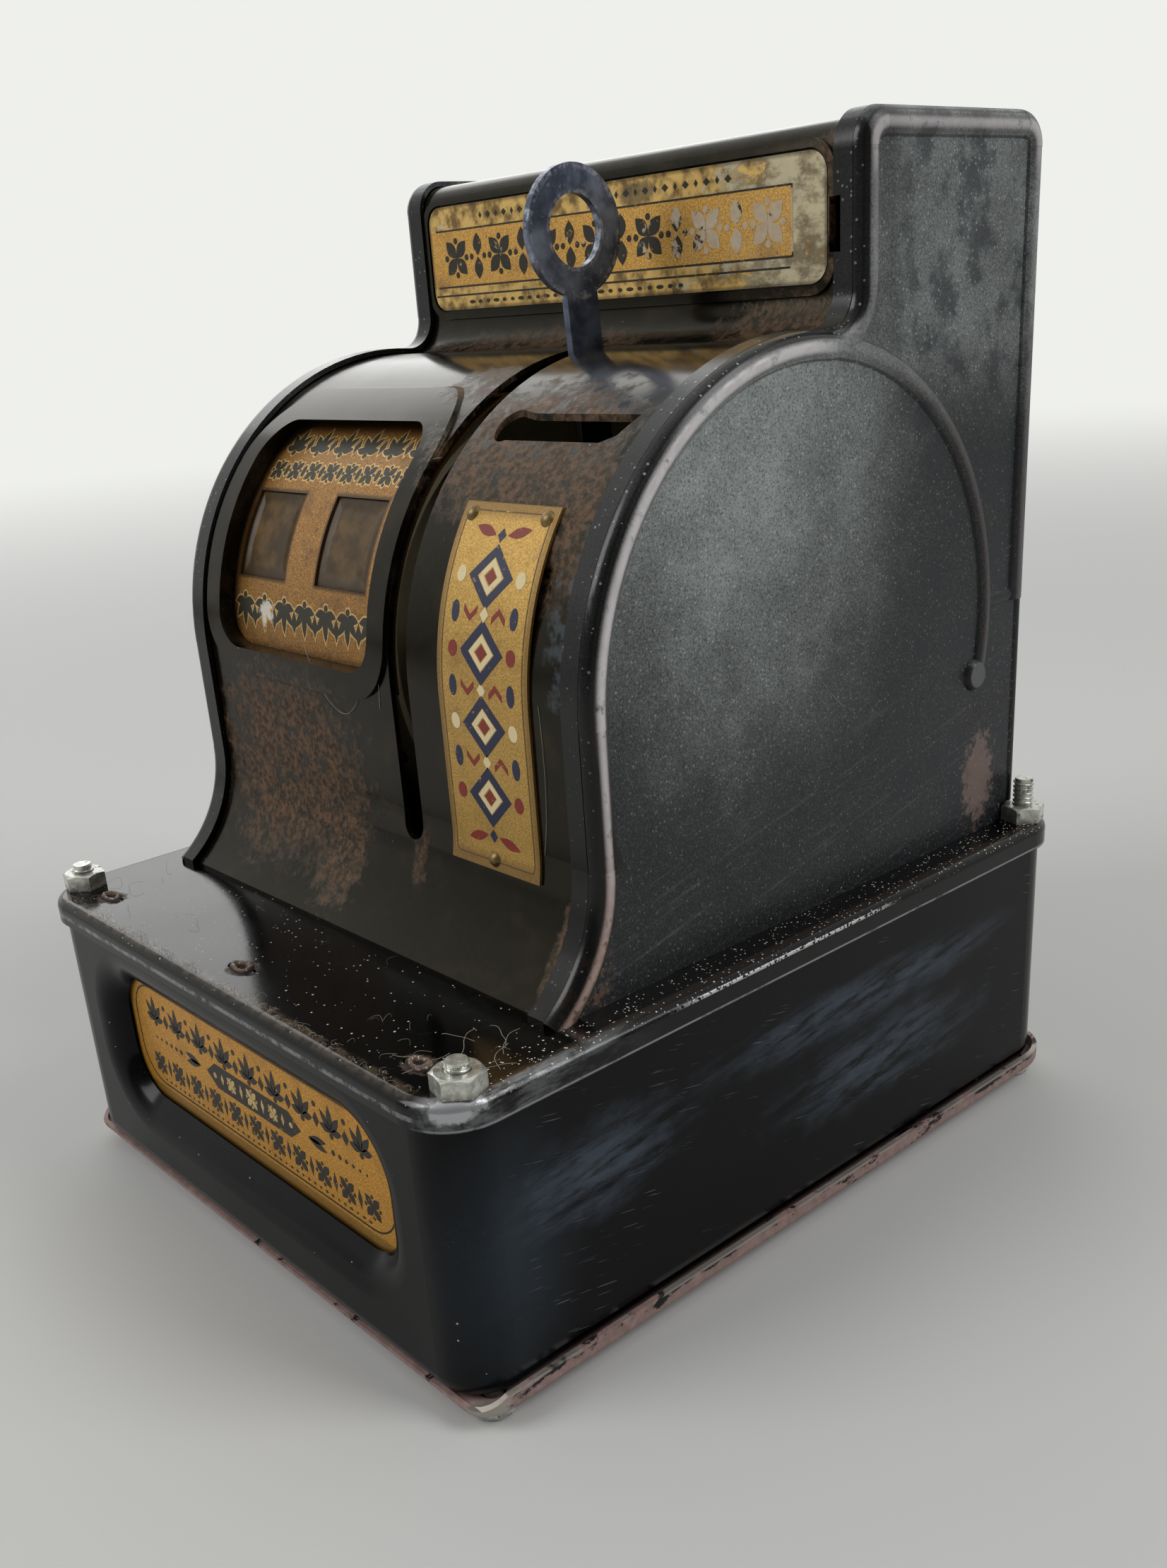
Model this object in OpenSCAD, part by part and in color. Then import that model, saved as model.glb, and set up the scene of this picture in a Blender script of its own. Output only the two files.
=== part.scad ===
// Coin register bank: a pressed steel toy cash register on a coin box.
// X runs to the right across the front, the front looks along -Y, Z is up.
// The origin is on the table under the middle of the box. Everything is in millimetres.

/* [Coin box] */
// Ledge of the lid beside the housing
side_ledge = 6; // [5.5:0.1:12]
// Depth of the lid over its rim
lid_d = 136.5; // [134:0.1:150]
// Height of the lid's top above the gold panel
over_panel = 10.9; // [10.8:0.1:20]
// Height of the lid's turned-down rim
lid_rim = 4; // [3.5:0.1:5]
// Corner radius of the lid
lid_corner = 8.8; // [8.5:0.1:11]
// Radius of the lid's rounded top edge
lid_edge = 1.6; // [1:0.1:2.2]
// Thickness of the pressed steel sheet
sheet = 0.8; // [0.6:0.05:1]
// Gap between the lid's rim and the box wall
lid_gap = 0.3; // [0.2:0.05:0.5]
// Radius of the box wall's turned-in lower edge
box_roll = 3; // [2:0.1:3.2]
// Height of the bottom plate's turned-up rim
plate_rim = 3; // [2:0.1:4]
// Gap between the bottom plate's rim and the box sides
plate_gap = 0.75; // [0.5:0.05:1]
// Radius of the bottom plate's front corners
plate_corner = 4.5; // [4:0.1:8]
// How far the bottom plate is set back under the front wall
plate_setback = 0.25; // [0.1:0.05:0.4]

/* [Box screws] */
// Diameter of the four screws
screw_d = 3.5; // [3:0.1:4]
// Distance from a screw to the lid's side edge
screw_side = 4.4; // [4.3:0.1:4.9]
// Distance from a screw to the lid's front or back edge
screw_end = 6.65; // [6.4:0.05:7]
// Diameter of the pan heads that the bank stands on
head_d = 7; // [6.4:0.1:7.4]
// Height of the pan heads
head_h = 2.2; // [1.8:0.1:3]
// Nut size across its flats
nut_flats = 6.35; // [5.5:0.05:7]
// Nut height
nut_h = 2.7; // [2:0.1:3.2]
// How far the front screws stand out over the lid
front_stud = 4; // [3.4:0.1:6]
// How far the back screws stand out over the lid
back_stud = 7.4; // [4:0.1:10]
// Radial clearance of screws, pins and axles that only pass through
pass_gap = 0.25; // [0.1:0.05:0.4]
// Radial running clearance of turning pieces
run_gap = 0.05; // [0.03:0.01:0.08]

/* [Coin door] */
// Distance from the gold panel's side edge to the lid's side edge
panel_side = 18.4; // [17:0.1:24]
// Height of the gold panel
panel_h = 22; // [20:0.5:24]
// Height of the panel's lower edge above the table
panel_z = 16.2; // [14.5:0.1:18]
// Corner radius of the panel
panel_corner = 8; // [6:0.5:9]
// Radius of the recess's rolled edge
recess_roll = 6.2; // [5.5:0.1:6.6]
// Angle that the recess's edge rolls inwards
recess_angle = 62; // [50:1:64]
// How far the door reaches behind the recess's lip
door_lap = 1; // [0.8:0.1:1.5]
// Diameter of the door's hinge pin
hinge_pin_d = 2; // [1.6:0.1:2.4]
// Height of the hinge pin above the panel's upper edge
hinge_rise = 3.3; // [3.1:0.1:3.6]
// Distance of the hinge knuckles from the panel's side edges
knuckle_side = 9; // [6:0.5:15]

/* [Housing] */
// Distance from the works' outer faces to the housing's sides
works_side = 6.9; // [6.8:0.1:8]
// Distance from the lid's back edge to the housing's back
back_margin = 5.85; // [5:0.05:8]
// Depth of the tall back block
block_d = 43.1; // [38:0.1:46]
// Radius of the round front
drum_r = 44.4; // [43:0.1:46]
// Gap between the number drums and the lid
drum_floor_gap = 1.45; // [0.8:0.05:4]
// Distance from the block's front face forward to the drum axis
axis_front = 10; // [8:0.1:12]
// Radius of the cove between the round front and the block
cove_r = 5; // [4:0.1:6]
// Radius of the block's top corners
top_corner = 5; // [4:0.1:6]
// Radius of the flared foot
foot_r = 21.8; // [20:0.1:24]
// Height above the lid at which the foot starts to flare
foot_h = 19.06; // [17:0.02:19.5]
// How far the foot reaches in front of the round front
foot_reach = 9.5; // [8:0.1:10.5]
// Radius of the rolled bead round the side plates
bead_r = 2.2; // [1.8:0.1:2.4]
// How far the beads stand out of the side panels
bead_h = 1; // [0.7:0.05:1.2]
// Width of the side plates' flange over the front sheet
flange_w = 5.4; // [5:0.1:6.5]
// Clearance between the flange and the sheet under it
flange_gap = 0.2; // [0.1:0.05:0.3]
// Height above the lid at which the back bead stops
back_bead_h = 38; // [36:0.5:42]

/* [Openings of the front] */
// Distance of the lever slot's middle from the coin carrier
lever_beside = 6; // [5:0.1:6.5]
// Width of the lever slot
slot_w = 4.6; // [4.3:0.1:5]
// Height of the lever slot's lower end above the lid
slot_low = 14.6; // [14:0.1:16]
// Diameter of the largest coin that the bank takes
coin_d = 24.3; // [24.3:0.1:26]
// How much longer than the coin the slot is
coin_slot_room = 2.3; // [1.8:0.1:2.6]
// Depth of the coin slot from front to back, seen from above
coin_h = 4.15; // [4.1:0.05:4.6]
// Angle of the coin slot above the level through the axis
coin_angle = 53; // [50:0.5:56]
// How far the window opening reaches past the dollars drum
window_past_drum = 0.35; // [0.2:0.05:0.6]
// How far the window opening reaches past the cents window
window_past_cents = 5.3; // [4.5:0.1:5.5]
// Height of the window opening's lower edge above the lid
window_low = 38.6; // [38.2:0.1:40]
// Height of the window opening
window_h = 34.5; // [32:0.1:35.5]
// Corner radius of the window opening
window_corner = 5.5; // [4:0.5:6.5]
// Width of the raised frame round the window
window_frame = 4.2; // [3:0.1:4.4]
// Height of raised frames above the sheet
frame_h = 0.6; // [0.4:0.05:0.8]

/* [Plates] */
// Thickness of the printed plates
plate_t = 0.4; // [0.3:0.05:0.5]
// Depth of the register plate behind the front sheet's face
register_depth = 2.3; // [2:0.1:2.6]
// Width of each number window
number_w = 13.9; // [12:0.1:14.5]
// Height of each number window
number_h = 12.8; // [11:0.1:14]
// Height of the number windows' middle above the axis
number_rise = 18.1; // [17:0.1:19]
// Width of the narrow plate
narrow_w = 19.4; // [16:0.1:21]
// Height of the narrow plate
narrow_h = 49.2; // [44:0.1:50]
// Height of the narrow plate's lower end above the lid
narrow_low = 14.6; // [14:0.1:16]
// Distance from that plate's ends to the housing's sides
marquee_side = 6.9; // [6:0.1:11]
// Height of the printed plate across the top block
marquee_h = 16.7; // [14:0.1:18]
// Distance from the top of the cove up to that plate
marquee_low_gap = 0.8; // [0.5:0.1:4]
// Distance from the top of the housing to that plate
marquee_drop = 4.6; // [3.8:0.1:6]
// Corner radius of that plate
marquee_corner = 3; // [2:0.5:4]
// Head diameter of the small rivets
rivet_d = 2.3; // [2:0.1:3]

/* [Lever] */
// Distance from the axis to the middle of the finger ring
lever_len = 59.7; // [58:0.1:61]
// Diameter of the finger ring
ring_d = 18; // [16:0.5:19]
// Diameter of the finger hole
ring_hole_d = 10; // [9:0.5:11]
// Width of the lever's stem
stem_w = 6.1; // [5:0.1:6.5]
// Thickness of the lever
lever_t = 1.2; // [1:0.1:1.4]
// Forward lean of the lever at rest
lever_lean = 3.8; // [3:0.1:5]

/* [Register works] */
// Diameter of the main axle
axle_d = 5; // [4:0.1:5.5]
// Free width between the drive arm and the coin carrier, for the lever and its spring
lever_room = 13.9; // [13.5:0.1:18]
// Thickness of the frame plates
works_t = 1.2; // [1:0.1:1.5]
// Distance from the round front's outside to the number drums
drum_depth = 7.9; // [7.7:0.1:10]
// Width of the number drums
drum_w = 16; // [15:0.1:16.4]
// Wall of the number drums
drum_wall = 1; // [0.8:0.1:1.5]
// Radius of the cents ratchet over its teeth
ratchet_r = 20; // [18:0.1:20.5]
// Teeth of the cents ratchet
ratchet_teeth = 20; // [20:1:20]
// Depth of the ratchet teeth
tooth_h = 2.4; // [2:0.1:2.6]
// Size of one gear tooth: pitch diameter over tooth count
gear_module = 1; // [0.9:0.05:1.05]
// Teeth of the dollars gear
gear_teeth = 40; // [40:4:40]
// Teeth of the transfer pinion
pinion_teeth = 12; // [12:1:12]
// Diameter of the tie rods
rod_d = 5; // [4:0.1:5.5]
// Radius of the bell
bell_r = 16; // [13:0.5:16.5]
// How much wider than the coin the carrier's pocket is
pocket_room = 1.1; // [0.6:0.1:1.3]
// Gap of the coin carrier's pocket
pocket_gap = 2.6; // [2.2:0.1:3]
// Depth of the coin carrier's pocket
pocket_depth = 24; // [22:0.1:25]

/* [Hidden] */
$fn = 64;

// What stands side by side across the works adds up to the width of the whole bank
gear_w = 1.4;
gear_gap = 0.65;
star_gap = 0.5;
star_w = 2.5;
drum_gap = 0.55;
ratchet_w = 1.6;
arm_gap = 0.45;
drum_end_gap = 2.65;
carrier_wall = 1.2;
carrier_gap = 0.2;
coin_w = coin_d + coin_slot_room;
pocket_w = coin_d + pocket_room;
carrier_half = pocket_w / 2 + carrier_wall;
carry_w = gear_w + gear_gap + works_t + star_gap + star_w + drum_gap;
arm_w = ratchet_w + arm_gap + works_t;
works_w = 2 * works_t + drum_end_gap + 2 * drum_w + carry_w + arm_w + lever_room
    + 2 * carrier_half + carrier_gap;
works_x = works_w / 2;
dollars_x = -works_x + works_t + drum_end_gap + drum_w / 2;
cents_x = dollars_x + drum_w + carry_w;
coin_x = works_x - works_t - carrier_gap - carrier_half;
slot_x = coin_x - carrier_half - lever_beside;
body_w = works_w + 2 * works_side;
lid_w = body_w + 2 * side_ledge;
panel_w = lid_w - 2 * panel_side;
window_left = dollars_x - drum_w / 2 - window_past_drum;
window_right = cents_x + number_w / 2 + window_past_cents;
marquee_w = body_w - 2 * marquee_side;

// Lengths that follow from the sizes above
number_r = drum_r - drum_depth;
axis_h = number_r + drum_floor_gap;
lid_top = panel_z + panel_h + over_panel;
box_w = lid_w - 2 * (sheet + lid_gap);
box_d = lid_d - 2 * (sheet + lid_gap);
box_corner = lid_corner - sheet - lid_gap;
box_low = head_h + sheet;
lid_under = lid_top - sheet;
lid_fillet = lid_edge - sheet;
box_high = lid_top - lid_edge - 0.02
    + sqrt(pow(lid_fillet, 2) - pow(max(0, lid_fillet - lid_gap), 2));
plate_w = box_w + 2 * (plate_gap + sheet);
plate_front = -box_d / 2 + plate_setback;
plate_back = box_d / 2 + plate_gap + sheet;
screw_x = lid_w / 2 - screw_side;
screw_y = lid_d / 2 - screw_end;
front_wall = -box_d / 2;

back_y = lid_d / 2 - back_margin;
block_y = back_y - block_d;
axis_y = block_y - axis_front;
axis_z = lid_top + axis_h;
front_y = axis_y - drum_r;
cove_y = block_y - cove_r;
cove_z = axis_h + sqrt(pow(drum_r + cove_r, 2) - pow(cove_y - axis_y, 2));
cove_angle = atan2(cove_z - axis_h, cove_y - axis_y);
body_h = cove_z + marquee_low_gap + marquee_h + marquee_drop;
side_x = body_w / 2;
panel_x = side_x - bead_h;
skin = sheet + flange_gap;
front_edge = side_x - bead_r - flange_gap;
far = 200;

// Places of the tie rods in the side view, clear of the drums and the shell
rod_wall = skin + sheet + rod_d / 2;
low_rod_h = 6;
front_rod_in = 3.3;
rear_rod_in = 6;
upper_rod_in = 13.1;
upper_rod_up = 32;
front_rod = [front_y + rod_wall + front_rod_in, low_rod_h];
rear_rod = [back_y - rod_wall - rear_rod_in, low_rod_h];
upper_rod = [back_y - rod_wall - upper_rod_in, axis_h + upper_rod_up];

// Recess and door of the coin box
recess_depth = recess_roll - (recess_roll - sheet) * cos(recess_angle);
recess_reach = recess_roll * sin(recess_angle);
opening_w = panel_w + 2 * recess_reach;
opening_h = panel_h + 2 * recess_reach;
opening_corner = panel_corner + recess_reach;
panel_mid = panel_z + panel_h / 2;
door_y = front_wall + recess_depth + 0.15;
door_top = panel_z + panel_h + door_lap;
hinge_y = door_y + sheet + 1.05;
hinge_z = panel_z + panel_h + hinge_rise;
knuckle_x = panel_w / 2 - knuckle_side;
latch_x = opening_w / 2 + 2.2;
latch_z = panel_mid;
latch_len = 9.5;
latch_pin_r = 1.2;
rim_low = 1.4;

// Strip that carries the door, and its three tabs through the lid
hanger_t = 1;
hanger_w = 2 * (screw_x - 5);
hanger_d = 7;
tab_places = [9.5 - screw_x, 0, screw_x - 8.5];
tab_y = front_wall + 5.8;
tab_w = 5;
tab_t = 1.2;

// Side plates: tabs into the lid, end of the rear rib, slit beside the top plate
side_tabs = [-18, 50];
side_tab_w = 7;
rib_end = -14.6;
slit_w = 2.2;
slit_h = 6.9;
slit_low = body_h - 17.5;

// Works: the plates' feet, their rivets, and the places of the wheels along the axle
foot_flange = 4.3;
foot_rivets = [-14, 38];
foot_rivet_x = works_x + 2.4;
works_rivet_r = 1.2;
gear_x = dollars_x + drum_w / 2;
middle_x = gear_x + gear_w + gear_gap;
star_x = middle_x + works_t + star_gap;
ratchet_x = cents_x + drum_w / 2;
pawl_w = 1;
pawl_x = ratchet_x + (ratchet_w - pawl_w) / 2 + 0.1;
arm_x = ratchet_x + ratchet_w + arm_gap;
hub_r = 5;
hub_fit = 0.02;
hub_bore = axle_d / 2 + run_gap;
drum_hub_r = 6;
gear_pitch_r = gear_module * gear_teeth / 2;
pinion_pitch_r = gear_module * pinion_teeth / 2;
pinion_dist = gear_pitch_r + pinion_pitch_r;
pinion_angle = 30;
pawl_r = ratchet_r + 5;
pawl_angle = 60;
nose_angle = 22;
detent_point = ratchet_r + 3.5;
detent_lift = 3;
cents_stop = -80;
dollars_stop = pinion_angle - 12.5 * 360 / gear_teeth;

// Coin carrier, and the chute in the lid below it
pocket_wall = 0.8;
carrier_end = number_r + 1.5;
carrier_floor = carrier_end - pocket_depth;
chute_w = pocket_w + 3;
chute_d = 24;
chute_y = axis_y - 21.5;
chute_corner = 2;

// Lever spring: a wound wire round the hub with one long leg down to the lid
spring_wire = 0.9;
spring_r = hub_r + 2;
spring_turns = 3.5;
spring_pitch = 1.35;
spring_x = slot_x - lever_t / 2 - 0.6 - spring_wire / 2 - spring_turns * spring_pitch;
lug_w = 4;
lug_h = 6;
lug_y = axis_y + spring_r + spring_wire / 2 + 0.1;

// Bell on its post, and where the clapper's ball stands
bell_x = 20;
bell_z = body_h - skin - sheet - bell_r - 1.4;
bell_h = 9;
bell_wall = 0.8;
bell_mouth_y = back_y - skin - sheet - 3.1;
bell_sphere = (bell_r * bell_r + bell_h * bell_h) / (2 * bell_h);
ball_r = 2;
ball_gap = 0.8;

// Rounded rectangle about the origin, from squares and true circles
module round_rect(w, d, r) {
    square([w - 2 * r, d], center = true);
    square([w, d - 2 * r], center = true);
    for (sx = [-1, 1], sy = [-1, 1])
        translate([sx * (w / 2 - r), sy * (d / 2 - r)]) circle(r = r);
}

// Quarter of a ring in the first quadrant, the section of a rolled edge
module quarter_ring(r_out, r_in) {
    intersection() {
        difference() {
            circle(r = r_out);
            circle(r = r_in);
        }
        square([r_out, r_out]);
    }
}

// One straight stretch of an edge that lies `reach` to the right of the middle
module straight_edge(reach, length) {
    translate([0, length / 2, 0]) rotate([90, 0, 0]) linear_extrude(length)
        translate([reach, 0]) children();
}

// Carries a section round a rounded rectangle: x of the section points outwards
module run_round(w, d, r) {
    for (turn = [0, 180]) {
        rotate([0, 0, turn]) straight_edge(w / 2, d - 2 * r) children();
        rotate([0, 0, turn + 90]) straight_edge(d / 2, w - 2 * r) children();
    }
    for (i = [0:3]) {
        sx = (i == 0 || i == 3) ? 1 : -1;
        sy = i < 2 ? 1 : -1;
        translate([sx * (w / 2 - r), sy * (d / 2 - r), 0]) rotate([0, 0, 90 * i])
            rotate_extrude(angle = 90) translate([r, 0]) children();
    }
}

// Flat tray with a turned-down rim and a rounded edge between them
module tray(w, d, rim, corner, edge) {
    translate([0, 0, -sheet]) linear_extrude(sheet)
        round_rect(w - 2 * edge, d - 2 * edge, corner - edge);
    translate([0, 0, -edge]) run_round(w, d, corner)
        translate([-edge, 0]) quarter_ring(edge, edge - sheet);
    translate([0, 0, -rim]) linear_extrude(rim - edge) difference() {
        round_rect(w, d, corner);
        round_rect(w - 2 * sheet, d - 2 * sheet, corner - sheet);
    }
}

module at_screws() {
    for (sx = [-1, 1], sy = [-1, 1]) translate([sx * screw_x, sy * screw_y, 0]) children();
}

// Clearance round the nuts, cut into the feet of the sides and the back
module nut_room() {
    at_screws() translate([0, 0, lid_top - 1])
        cylinder(r = nut_flats / sqrt(3) + pass_gap, h = 1 + nut_h + pass_gap);
}

module at_frame_rivets() {
    for (sx = [-1, 1], y = foot_rivets) translate([sx * foot_rivet_x, y, lid_top]) children();
}

// Pressed lid of the coin box, with the chute under the coin carrier
module base_lid() {
    color("#17181a") difference() {
        union() {
            translate([0, 0, lid_top]) tray(lid_w, lid_d, lid_rim, lid_corner, lid_edge);
            // lug that holds the lever spring's long leg
            translate([spring_x - lug_w / 2, lug_y, lid_top - sheet])
                cube([lug_w, sheet, sheet + lug_h]);
        }
        at_screws() translate([0, 0, lid_top - 2 * sheet])
            cylinder(r = screw_d / 2 + pass_gap, h = 3 * sheet);
        for (x = tab_places) translate([x, tab_y, lid_top - 2 * sheet]) linear_extrude(3 * sheet)
            round_rect(tab_w + 4 * pass_gap, tab_t + 4 * pass_gap, 4 * pass_gap);
        translate([coin_x, chute_y, lid_top - 2 * sheet]) linear_extrude(3 * sheet)
            round_rect(chute_w, chute_d, chute_corner);
        for (sx = [-1, 1], y = side_tabs) translate([sx * (panel_x - sheet / 2), y, lid_top])
            cube([sheet + 2 * pass_gap, side_tab_w + 2 * pass_gap, 4 * sheet], center = true);
        at_frame_rivets() translate([0, 0, -2 * sheet])
            cylinder(r = works_rivet_r + run_gap, h = 4 * sheet);
    }
}

// Section of the recess's rolled edge: an arc that starts flush with the front, and a
// short flat stretch that lies in the wall round it
module recess_section() {
    translate([0, -sheet]) square([0.4, sheet]);
    translate([0, -recess_roll]) intersection() {
        difference() {
            circle(r = recess_roll);
            circle(r = recess_roll - sheet);
        }
        polygon([
            [0, 0], [0, 2 * recess_roll],
            [-2 * recess_roll * sin(recess_angle), 2 * recess_roll * cos(recess_angle)]
        ]);
    }
}

// Puts a drawing on the box front at height z, its own Z pointing out
module on_front_wall(z) {
    translate([0, front_wall, z]) rotate([90, 0, 0]) children();
}

// Wall of the coin box, with its turned-in lower edge and the door's recess
module base_box() {
    color("#1b1d1f") difference() {
        union() {
            difference() {
                translate([0, 0, box_low + box_roll])
                    linear_extrude(box_high - box_low - box_roll) difference() {
                        round_rect(box_w, box_d, box_corner);
                        round_rect(box_w - 2 * sheet, box_d - 2 * sheet, box_corner - sheet);
                    }
                on_front_wall(panel_mid) translate([0, 0, -2 * sheet]) linear_extrude(3 * sheet)
                    round_rect(opening_w, opening_h, opening_corner);
            }
            translate([0, 0, box_low + box_roll]) mirror([0, 0, 1])
                run_round(box_w, box_d, box_corner)
                    translate([-box_roll, 0]) quarter_ring(box_roll, box_roll - sheet);
            on_front_wall(panel_mid) run_round(opening_w, opening_h, opening_corner)
                recess_section();
        }
        at_screws() cylinder(r = screw_d / 2 + pass_gap, h = box_low + box_roll + 1);
    }
}

// Bottom plate: a shallow tray whose rim laps round the box and dips at the front.
// Its front corners are sharper than the back ones, so it is made in two halves
module bottom_plate() {
    depth = plate_back - plate_front;
    color("#232426") difference() {
        for (half = [[-far, plate_corner], [0, lid_corner]]) intersection() {
            translate([0, (plate_back + plate_front) / 2, head_h]) mirror([0, 0, 1])
                tray(plate_w, depth, plate_rim, half[1], sheet + 0.3);
            translate([-far / 2, half[0], 0]) cube([far, far, plate_rim + head_h + 1]);
        }
        translate([-far / 2, 0, head_h]) rotate([90, 0, 90]) linear_extrude(far) polygon([
            [plate_front - 1, rim_low], [plate_front + 1, rim_low],
            [plate_front + plate_corner, plate_rim + 0.1], [plate_front - 1, plate_rim + 0.1]
        ]);
        at_screws() cylinder(r = screw_d / 2 + pass_gap, h = head_h + 2 * sheet);
    }
}

// The four long screws; their pan heads are the feet
module base_screws() {
    point = 0.5;
    color("#b9b9b2") for (sx = [-1, 1], sy = [-1, 1]) translate([sx * screw_x, sy * screw_y, 0]) {
        top = lid_top + (sy > 0 ? back_stud : front_stud);
        difference() {
            union() {
                intersection() {
                    cylinder(r = head_d / 2, h = head_h);
                    translate([0, 0, head_d * 0.62]) sphere(r = head_d * 0.72);
                }
                cylinder(r = screw_d / 2, h = top - point);
                translate([0, 0, top - point])
                    cylinder(r1 = screw_d / 2, r2 = screw_d / 2 - point, h = point);
            }
            translate([0, 0, 0.4]) cube([head_d + 1, 0.9, 0.9], center = true);
        }
    }
}

// Hexagon nuts with the usual turned corners
module base_nuts() {
    corner_r = nut_flats / sqrt(3);
    turn = -12;
    color("#c4c4bd") at_screws() translate([0, 0, lid_top]) difference() {
        intersection() {
            rotate([0, 0, turn]) cylinder(r = corner_r, h = nut_h, $fn = 6);
            cylinder(r1 = corner_r + nut_h * 1.2, r2 = nut_flats / 2, h = nut_h * 1.02);
            cylinder(r1 = nut_flats / 2 + 0.1, r2 = nut_flats / 2 + 0.1 + nut_h * 2, h = nut_h * 1.1);
        }
        translate([0, 0, -1]) cylinder(r = screw_d / 2 + run_gap, h = nut_h + 2);
    }
}

// Strip under the lid that carries the door; its tabs come up through the lid
module door_hanger() {
    color("#8d8f8c") difference() {
        union() {
            translate([-hanger_w / 2, front_wall + sheet + 0.5, lid_under - hanger_t])
                cube([hanger_w, hanger_d, hanger_t]);
            for (x = tab_places) translate([x, tab_y, lid_under - 0.1])
                linear_extrude(sheet) square([tab_w, tab_t], center = true);
            for (sx = [-1, 1]) translate([sx * (knuckle_x + 3.2) - 0.6, 0, 0]) rotate([90, 0, 90])
                linear_extrude(1.2) {
                    translate([hinge_y, hinge_z]) circle(r = 2.4);
                    translate([hinge_y - 2.4, hinge_z]) square([4.8, lid_under - hinge_z]);
                }
        }
        translate([-far / 2, hinge_y, hinge_z]) rotate([0, 90, 0])
            cylinder(r = hinge_pin_d / 2 + run_gap, h = far);
    }
}

// Steel wire pin on which the coin door turns
module door_hinge_pin() {
    half = knuckle_x + 5;
    color("#9a9c9b") translate([-half, hinge_y, hinge_z]) rotate([0, 90, 0])
        cylinder(r = hinge_pin_d / 2, h = 2 * half);
}

// The gold panel in the recess: a door that hangs by two knuckles and swings inwards
module coin_door() {
    color("#b98a2c") difference() {
        union() {
            on_front_wall(panel_mid) translate([0, 0, front_wall - door_y - sheet])
                linear_extrude(sheet) round_rect(
                    panel_w + 2 * door_lap, panel_h + 2 * door_lap, panel_corner + door_lap);
            for (sx = [-1, 1]) translate([sx * knuckle_x - 1.5, 0, 0]) rotate([90, 0, 90])
                linear_extrude(3) {
                    translate([hinge_y, hinge_z]) circle(r = 2.2);
                    polygon([
                        [door_y, door_top - 0.6], [door_y + sheet, door_top - 0.6],
                        [hinge_y + 1.5, hinge_z - 1.6], [hinge_y - 2.15, hinge_z - 0.4],
                        [door_y, door_top]
                    ]);
                }
        }
        for (sx = [-1, 1]) translate([sx * knuckle_x - 4.5, door_y - 1, door_top - 1.8])
            cube([9, 3, 1]);
        translate([-far / 2, hinge_y, hinge_z]) rotate([0, 90, 0])
            cylinder(r = hinge_pin_d / 2 + run_gap, h = far);
    }
}

// Turning catch that drops behind the door's edge; it is drawn standing free
module door_latch() {
    color("#a3a19a") translate([latch_x, door_y + sheet + 1.3, latch_z]) rotate([90, 0, 0])
        linear_extrude(1) difference() {
            union() {
                circle(r = 3);
                translate([-2, 0]) square([4, latch_len - 2]);
                translate([0, latch_len - 2]) circle(r = 2);
            }
            circle(r = latch_pin_r + run_gap);
        }
}

// Shouldered stud on the inside of the front wall that carries the catch
module latch_rivet() {
    color("#9a9c9b") translate([latch_x, front_wall + sheet, latch_z]) rotate([-90, 0, 0]) {
        reach = door_y + sheet + 0.25 - front_wall - sheet;
        cylinder(r = 1.2, h = reach + 1.2);
        cylinder(r = 2, h = reach);
        translate([0, 0, reach + 1.15]) cylinder(r = 2, h = 0.7);
    }
}

// Side view of the housing, drawn d inside its outline: y to the right, z above the lid up
module side_area(d) {
    difference() {
        union() {
            translate([axis_y, axis_h]) circle(r = drum_r - d);
            translate([front_y + d, -1]) square([back_y - front_y - 2 * d, axis_h + 1]);
            translate([block_y + d, 0]) square([block_d - 2 * d, body_h - top_corner]);
            translate([block_y + top_corner, 0]) square([block_d - 2 * top_corner, body_h - d]);
            for (y = [block_y + top_corner, back_y - top_corner])
                translate([y, body_h - top_corner]) circle(r = top_corner - d);
            polygon([
                [axis_y, axis_h], [block_y + top_corner, axis_h], [block_y + top_corner, cove_z],
                [cove_y, cove_z],
                [axis_y + drum_r * cos(cove_angle), axis_h + drum_r * sin(cove_angle)]
            ]);
            translate([front_y - foot_reach + d, -1]) square([foot_reach + 1, foot_h + 1]);
        }
        translate([cove_y, cove_z]) circle(r = cove_r + d);
        translate([front_y - foot_r, foot_h]) circle(r = foot_r + d);
        translate([-far, -far]) square([2 * far, far]);
    }
}

module side_shell(outer, inner) {
    difference() {
        side_area(outer);
        side_area(inner);
    }
}

// Extrudes a side view from x0 to x1, standing on the lid
module across(x0, x1) {
    translate([x0, 0, lid_top]) rotate([90, 0, 90]) linear_extrude(x1 - x0) children();
}

// Half round section of a bead
module half_round(r) {
    intersection() {
        circle(r = r);
        translate([-r, 0]) square([2 * r, r]);
    }
}

module bead_arc(y, z, r, from, to, section_r) {
    translate([y, z, 0]) rotate([0, 0, from]) rotate_extrude(angle = to - from)
        translate([r, 0]) half_round(section_r);
}

module bead_line(y, z, length, angle, r) {
    translate([y, z, 0]) rotate([0, 0, angle]) rotate([90, 0, 90]) linear_extrude(length)
        half_round(r);
}

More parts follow.
